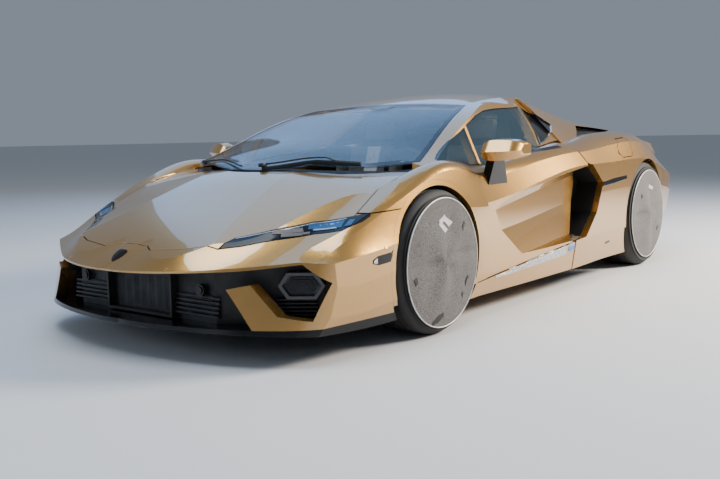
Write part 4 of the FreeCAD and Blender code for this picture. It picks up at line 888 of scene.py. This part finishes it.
class SUPERCAR_OT_seats(bpy.types.Operator):
    """Swells the seat cushions under their pale covers, on two dark shells"""
    bl_idname = "supercar.seats"
    bl_label = "Seats"

    # Name, middle from the seat's centre line and the front axle, size, lean in degrees, fill.
    PADS = (("base", (0, 0.985, 0.272), (0.36, 0.35, 0.085), 5, 0.7),
            ("back", (0, 1.228, 0.600), (0.36, 0.075, 0.58), -16, 0.7),
            ("rest", (0, 1.392, 0.968), (0.23, 0.060, 0.115), -12, 0.8),
            ("low_side", (0.224, 0.975, 0.315), (0.055, 0.32, 0.13), 4, 0.8),
            ("high_side", (0.224, 1.205, 0.570), (0.055, 0.10, 0.42), -16, 0.8))
    # How far a cover swells at most, how it ripples and how deep its creases are.
    SWELL = 0.012
    RIPPLE, CREASE = 0.004, 0.005
    # The voxels that even out a block, the share of its least side that rounds it, and the cloth's run.
    VOXEL, ROUND = 0.008, 0.3
    PRESSURE, QUALITY, FRAMES = 4, 4, 20
    # Outlines of the shell in the side view, from the front axle and the floor: back, base and side wing.
    BACK = ((1.23, .20), (1.27, .30), (1.37, .66), (1.415, .93), (1.428, 1.02), (1.412, 1.02), (1.395, .93),
            (1.335, .66), (1.235, .32), (1.19, .20))
    BASE = ((.80, .185), (.80, .225), (1.20, .235), (1.20, .185))
    WING = ((.80, .19), (.79, .245), (1.12, .26), (1.27, .72), (1.33, .72), (1.25, .19))
    BACK_HALF, BASE_HALF, WING_HALF, WING_OFF = 0.2, 0.235, 0.018, 0.23

    def execute(self, context):
        self.shells()
        for name, middle, size, lean, fill in self.PADS:
            pad = self.swell(context, name, size)
            for vert in pad.vertices:
                spot = vert.co
                wave = noise.noise(Vector((spot.x * 26, spot.y * 9, spot.z * 9 + middle[2] * 7)))
                crease = abs(noise.noise(Vector((spot.x * 40, spot.z * 5, spot.y * 5))))
                spot += vert.normal * (self.RIPPLE * wave - self.CREASE * crease)
            hands = (1, -1) if middle[0] else (1,)
            for side, sign in SIDES:
                for hand in hands:
                    bm = bmesh.new()
                    bm.from_mesh(pad)
                    x = (SEAT + middle[0] * hand) * sign
                    set_down(bm, Matrix.Rotation(math.radians(lean), 3, "X"), at(x, middle[1], middle[2]))
                    where = side if len(hands) < 2 else side + ("_outer" if hand > 0 else "_inner")
                    piece = place(bm, "seat_%s_%s" % (name, where), "chassis", "pale_leather", ["seats"],
                                  smooth=60)
        return {"FINISHED"}

    def swell(self, context, name, size):
        """A bevelled block blown up by cloth pressure, as a mesh about its own middle."""
        bm = bmesh.new()
        half = Vector(size) / 2
        add_box(bm, -half, half, soft=min(size) * self.ROUND)
        mesh = bpy.data.meshes.new(name)
        bm.to_mesh(mesh)
        bm.free()
        pad = bpy.data.objects.new(name, mesh)
        context.scene.collection.objects.link(pad)
        remesh = pad.modifiers.new("Remesh", "REMESH")
        remesh.mode = "VOXEL"
        remesh.voxel_size = self.VOXEL
        self.bake(context, pad)
        starts = [vert.co.copy() for vert in pad.data.vertices]
        cloth = pad.modifiers.new("Cloth", "CLOTH")
        cloth.settings.use_pressure = True
        cloth.settings.uniform_pressure_force = self.PRESSURE
        cloth.settings.quality = self.QUALITY
        cloth.settings.effector_weights.gravity = 0
        for step in range(self.FRAMES):
            context.scene.frame_set(step + 1)
        self.bake(context, pad)
        context.scene.frame_set(1)
        for vert, start in zip(pad.data.vertices, starts):
            move = vert.co - start
            if move.length > self.SWELL:
                vert.co = start + move.normalized() * self.SWELL
        mesh = pad.data
        bpy.data.objects.remove(pad)
        return mesh

    def bake(self, context, pad):
        """Makes the modifiers' result the pad's own mesh."""
        graph = context.evaluated_depsgraph_get()
        mesh = bpy.data.meshes.new_from_object(pad.evaluated_get(graph))
        pad.modifiers.clear()
        pad.data = mesh

    def shells(self):
        """Hard shells under and behind the cushions, each with two side wings."""
        for side, sign in SIDES:
            bm = bmesh.new()
            middle = SEAT * sign
            forms = [(middle, self.BACK_HALF, self.BACK), (middle, self.BASE_HALF, self.BASE)]
            forms += [(middle + hand * self.WING_OFF, self.WING_HALF, self.WING) for hand in (-1, 1)]
            for x, half, outline in forms:
                add_plate(bm, [at(x - half, ahead, z) for ahead, z in outline], (half * 2, 0, 0))
            place(bm, "seat_shell_" + side, "chassis", "dark_leather", ["seats"], smooth=30)


class SUPERCAR_OT_cabin(bpy.types.Operator):
    """Adds displays, vents, the console's panel, the steering wheel's pad and the door cards"""
    bl_idname = "supercar.cabin"
    bl_label = "Cabin details"

    # The vents' middles as across and behind the front axle, their height, sides and blades.
    VENTS = ((-.70, .556), (-.20, .498), (.17, .498), (.70, .556))
    VENT_Z, VENT_HALF, VENT_RISE, VENT_SHOULDER = .69, .05, .0208, 0.6
    BLADES = (.676, .685, .694, .703)
    # The console's row of switches: its first edge, their pitch and their width.
    SWITCH_X, SWITCH_PITCH, SWITCH = -.05, .018, .012
    # The steering wheel's rim and the grips round it, with half of a grip's arc in radians.
    RIM, GRIP, GRIP_ARC = 0.178, 0.0168, 0.5

    def execute(self, context):
        bm = bmesh.new()
        add_box(bm, at(.25, .493, .655), at(.52, .505, .728), soft=0.004)
        add_box(bm, at(-.60, .493, .675), at(-.34, .505, .722), soft=0.004)
        lean = Matrix.Rotation(math.radians(-30), 3, "X")
        add_box(bm, at(-.088, .50, .640), at(.088, .508, .72), lean, soft=0.003)
        place(bm, "displays", "chassis", "screen", smooth=30)
        bm = bmesh.new()
        for x, y in self.VENTS:
            outline = [at(x + across, y, self.VENT_Z + up)
                       for across, up in six_sided(self.VENT_HALF, self.VENT_RISE, self.VENT_SHOULDER)]
            add_plate(bm, outline, (0, 0.010, 0))
            for z in self.BLADES:
                add_box(bm, at(x - .032, y + .010, z - .0015), at(x + .032, y + .016, z + .0015))
        for step in range(6):
            x = self.SWITCH_X + step * self.SWITCH_PITCH
            add_box(bm, at(x, .70, .505), at(x + self.SWITCH, .715, .515), soft=0.002)
        add_box(bm, at(-.03, .80, .4405), at(.03, .93, .462), soft=0.008)
        place(bm, "vents_and_switches", "chassis", "gloss_black", smooth=30)
        self.wheel_pad()
        self.door_cards()
        return {"FINISHED"}

    def wheel_pad(self):
        """The steering wheel's pad, spokes, paddles and two hand grips, laid out flat and then turned."""
        joint = JOINTS["steering_wheel_turn"]
        centre, axis = Vector(joint["pos_m"]), Vector(joint["axis"]).normalized()
        turn = Z_AXIS.rotation_difference(axis).to_matrix()
        bm = bmesh.new()
        add_box(bm, (-.062, -.045, .012), (.062, .050, .026), soft=0.010)
        for hand in (-1, 1):
            add_box(bm, (hand * .105 - .028, -.012, .008), (hand * .105 + .028, .014, .014), soft=0.003)
            add_box(bm, (hand * .145 - .012, .020, -.020), (hand * .145 + .012, .085, -.014), soft=0.003)
        set_down(bm, turn, centre)
        place(bm, "steering_pad", "steering_wheel_body", "dark_leather", smooth=30)
        bm = bmesh.new()
        for middle in (0.0, math.pi):
            angles = [middle + self.GRIP_ARC * (step / 5 - 1) for step in range(11)]
            add_tube(bm, [centre + turn @ Vector((self.RIM * math.sin(angle), self.RIM * math.cos(angle), 0))
                          for angle in angles], self.GRIP, 10)
        place(bm, "steering_grips", "steering_wheel_body", "dark_leather", smooth=40)

    def door_cards(self):
        """Inner door faces: armrest, pull and speaker."""
        for side, sign in SIDES:
            bm = bmesh.new()
            add_box(bm, at(DOOR_INNER - .045, .78, .50), at(DOOR_INNER + .002, 1.24, .535), soft=0.010)
            add_box(bm, at(DOOR_INNER - .030, .86, .60), at(DOOR_INNER + .002, 1.02, .625), soft=0.008)
            turn = Matrix.Rotation(math.radians(90), 4, "Y")
            speaker = Matrix.Translation(at(DOOR_INNER - .004, .66, .36)) @ turn
            bmesh.ops.create_cone(bm, cap_ends=True, segments=32, radius1=0.075, radius2=0.068, depth=0.012,
                                  matrix=speaker)
            if sign < 0:
                flip(bm)
            place(bm, "door_card_" + side, "door_%s_body" % side, "dark_leather", smooth=30)


class SUPERCAR_OT_engine_bay(bpy.types.Operator):
    """Adds intake runners, a plenum and braces over the engine"""
    bl_idname = "supercar.engine_bay"
    bl_label = "Engine bay"

    # The bend of an intake runner from the cylinder head in to the plenum, as pairs of across and up.
    RUNNER = ((0.20, .80), (0.19, .832), (0.15, .852), (0.11, .850), (0.075, .835))
    RUNNER_BAR, RUNNER_FIRST, RUNNER_PITCH = 0.019, -0.72, 0.16
    # The ribs on the head covers: half width, depth, distance from the middle, first one and pitch.
    RIB_HALF, RIB_DEEP, RIB_OFF, RIB_FIRST, RIB_PITCH = 0.07, 0.05, 0.17, -0.76, 0.11
    # A brace from the bulkhead over the plenum to the tail, on the left, from the rear axle.
    BRACE = ((.42, -1.02, .80), (.16, -.42, .872), (.40, .30, .78))
    BRACE_BAR = 0.013

    def execute(self, context):
        bm = bmesh.new()
        for hand in (-1, 1):
            for step in range(4):
                y = self.RUNNER_FIRST + step * self.RUNNER_PITCH
                add_tube(bm, [at(hand * x, y, z, "R") for x, z in self.RUNNER], self.RUNNER_BAR, 12)
        place(bm, "intake_runners", "chassis", "cast_metal", smooth=50)
        bm = bmesh.new()
        add_box(bm, at(-.085, -.80, .735, "R"), at(.085, -.16, .858, "R"), soft=0.022)
        for x in (-self.RIB_OFF, self.RIB_OFF):
            for step in range(6):
                y = self.RIB_FIRST + step * self.RIB_PITCH
                add_box(bm, at(x - self.RIB_HALF, y, .803, "R"),
                        at(x + self.RIB_HALF, y + self.RIB_DEEP, .812, "R"), soft=0.003)
        place(bm, "plenum", "chassis", "matte_black", smooth=30)
        bm = bmesh.new()
        for hand in (-1, 1):
            add_tube(bm, [at(hand * x, y, z, "R") for x, y, z in self.BRACE], self.BRACE_BAR, 12)
        place(bm, "bay_braces", "chassis", "aluminium", smooth=50)
        return {"FINISHED"}


class SUPERCAR_OT_tail_details(bpy.types.Operator):
    """Adds the exhaust rings and the mesh in the tail"""
    bl_idname = "supercar.tail_details"
    bl_label = "Tail details"

    # The exhaust ring's section, as pairs of along and radius, and its place.
    RING = [(-.030, .0515), (.004, .0515), (.008, .055), (.004, .0595), (-.030, .0595)]
    RING_X, RING_Z = 0.118, 0.520
    # The mesh in the tail: half of its width, its foot and top, its wires' pitches.
    HALF_WIDTH = 0.50
    FOOT, TOP = 0.598, 0.702
    ROW, COLUMN = 0.012, 0.05
    # How far the rings lie inside the pipes' ends, and the mesh inside the rear grille's.
    RING_IN, MESH_IN = 0.008, 0.022

    def execute(self, context):
        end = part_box("exhaust")[1].y - self.RING_IN
        for side, sign in SIDES:
            bm = bmesh.new()
            add_lathe(bm, self.RING, 48, Vector((self.RING_X * sign, end, self.RING_Z)), Y_AXIS)
            place(bm, "exhaust_ring_" + side, "chassis", "steel", smooth=40)
        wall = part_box("rear_grille")[1].y - self.MESH_IN
        bm = bmesh.new()
        for row in range(9):
            z = self.FOOT + .002 + row * self.ROW
            add_box(bm, (-self.HALF_WIDTH, wall - .006, z), (self.HALF_WIDTH, wall + .004, z + .003))
        for step in range(21):
            x = -self.HALF_WIDTH + step * self.COLUMN
            add_box(bm, (x - .002, wall - .006, self.FOOT), (x + .002, wall + .005, self.TOP))
        place(bm, "tail_mesh", "chassis", "matte_black", smooth=0)
        return {"FINISHED"}


class SUPERCAR_OT_stage(bpy.types.Operator):
    """Sets up the pale floor, the soft lights and the camera"""
    bl_idname = "supercar.stage"
    bl_label = "Studio"

    FLOOR_HALF = 200
    # The photograph's view: place in metres, turn in degrees, lens and sensor in millimetres.
    CAMERA = (3.18346, -4.64624, 0.93536)
    CAMERA_TURN = (83.3196, 0.9965, 37.7553)
    LENS, SENSOR = 43.905, 36
    SKY_COLOR, SKY_STRENGTH = (0.66, 0.77, 0.92, 1), 0.34
    # Name, place, spot aimed at, size, share of the key light's power, colour.
    LIGHTS = (("key", (5.4, 4.4, 4.0), (0.6, 0.0, 0.5), (2.4, 2.0), 1.6, (1.0, 0.92, 0.80)),
              ("top", (0.5, -2.2, 6.5), (0, -0.5, 0), (5, 3.6), 0.42, (0.78, 0.88, 1.0)),
              ("front", (-3.5, -7.0, 2.4), (0, -1, 0.4), (4, 2), 0.10, (0.75, 0.86, 1.0)),
              ("sky", (-4.6, 4.6, 7.0), (0, -1.0, 0.8), (9, 8), 0.36, (0.24, 0.50, 1.0)))

    def execute(self, context):
        self.floor(context)
        self.camera(context.scene)
        for row in self.LIGHTS:
            self.light(context, *row)
        world = bpy.data.worlds.new("studio")
        context.scene.world = world
        world.use_nodes = True
        background = world.node_tree.nodes["Background"]
        background.inputs["Color"].default_value = self.SKY_COLOR
        background.inputs["Strength"].default_value = self.SKY_STRENGTH
        return {"FINISHED"}

    def floor(self, context):
        bm = bmesh.new()
        bmesh.ops.create_grid(bm, x_segments=1, y_segments=1, size=self.FLOOR_HALF)
        mesh = bpy.data.meshes.new("studio_floor")
        bm.to_mesh(mesh)
        bm.free()
        floor = bpy.data.objects.new("studio_floor", mesh)
        context.scene.collection.objects.link(floor)
        mesh.materials.append(Finish("studio_floor", settings(context).floor, 0.85).material)

    def camera(self, scene):
        camera = bpy.data.objects.new("camera", bpy.data.cameras.new("camera"))
        camera.data.lens = self.LENS
        camera.data.sensor_width = self.SENSOR
        camera.location = self.CAMERA
        camera.rotation_euler = Euler([math.radians(turn) for turn in self.CAMERA_TURN])
        scene.collection.objects.link(camera)
        scene.camera = camera

    def light(self, context, name, spot, aimed, size, share, color):
        light = bpy.data.lights.new(name, "AREA")
        light.shape = "RECTANGLE"
        light.size, light.size_y = size
        light.energy = settings(context).key_light * share
        light.color = color
        lamp = bpy.data.objects.new(name, light)
        lamp.location = spot
        lamp.rotation_euler = (Vector(aimed) - Vector(spot)).to_track_quat("-Z", "Y").to_euler()
        lamp.visible_camera = False
        context.scene.collection.objects.link(lamp)


OPERATORS = (SUPERCAR_OT_finishes, SUPERCAR_OT_stage, SUPERCAR_OT_tyres, SUPERCAR_OT_wheel_covers,
             SUPERCAR_OT_radiator_mesh, SUPERCAR_OT_lamps, SUPERCAR_OT_flank, SUPERCAR_OT_glazing,
             SUPERCAR_OT_mouth, SUPERCAR_OT_seats, SUPERCAR_OT_cabin, SUPERCAR_OT_engine_bay,
             SUPERCAR_OT_tail_details)


class SUPERCAR_PT_panel(bpy.types.Panel):
    """Lists the dressing steps and their sizes"""
    bl_idname = "SUPERCAR_PT_panel"
    bl_label = "Supercar"
    bl_space_type = "VIEW_3D"
    bl_region_type = "UI"
    bl_category = "Supercar"

    def draw(self, context):
        for key in settings(context).bl_rna.properties.keys():
            if key not in ("rna_type", "name"):
                self.layout.prop(settings(context), key)
        for operator in OPERATORS:
            self.layout.operator(operator.bl_idname)


CLASSES = (SupercarSettings,) + OPERATORS + (SUPERCAR_PT_panel,)


def register():
    for cls in CLASSES:
        bpy.utils.register_class(cls)
    bpy.types.Scene.supercar = bpy.props.PointerProperty(type=SupercarSettings)


def unregister():
    del bpy.types.Scene.supercar
    for cls in reversed(CLASSES):
        bpy.utils.unregister_class(cls)


def main():
    register()
    for operator in OPERATORS:
        group, name = operator.bl_idname.split(".")
        getattr(getattr(bpy.ops, group), name)()


if __name__ == "__main__":
    main()
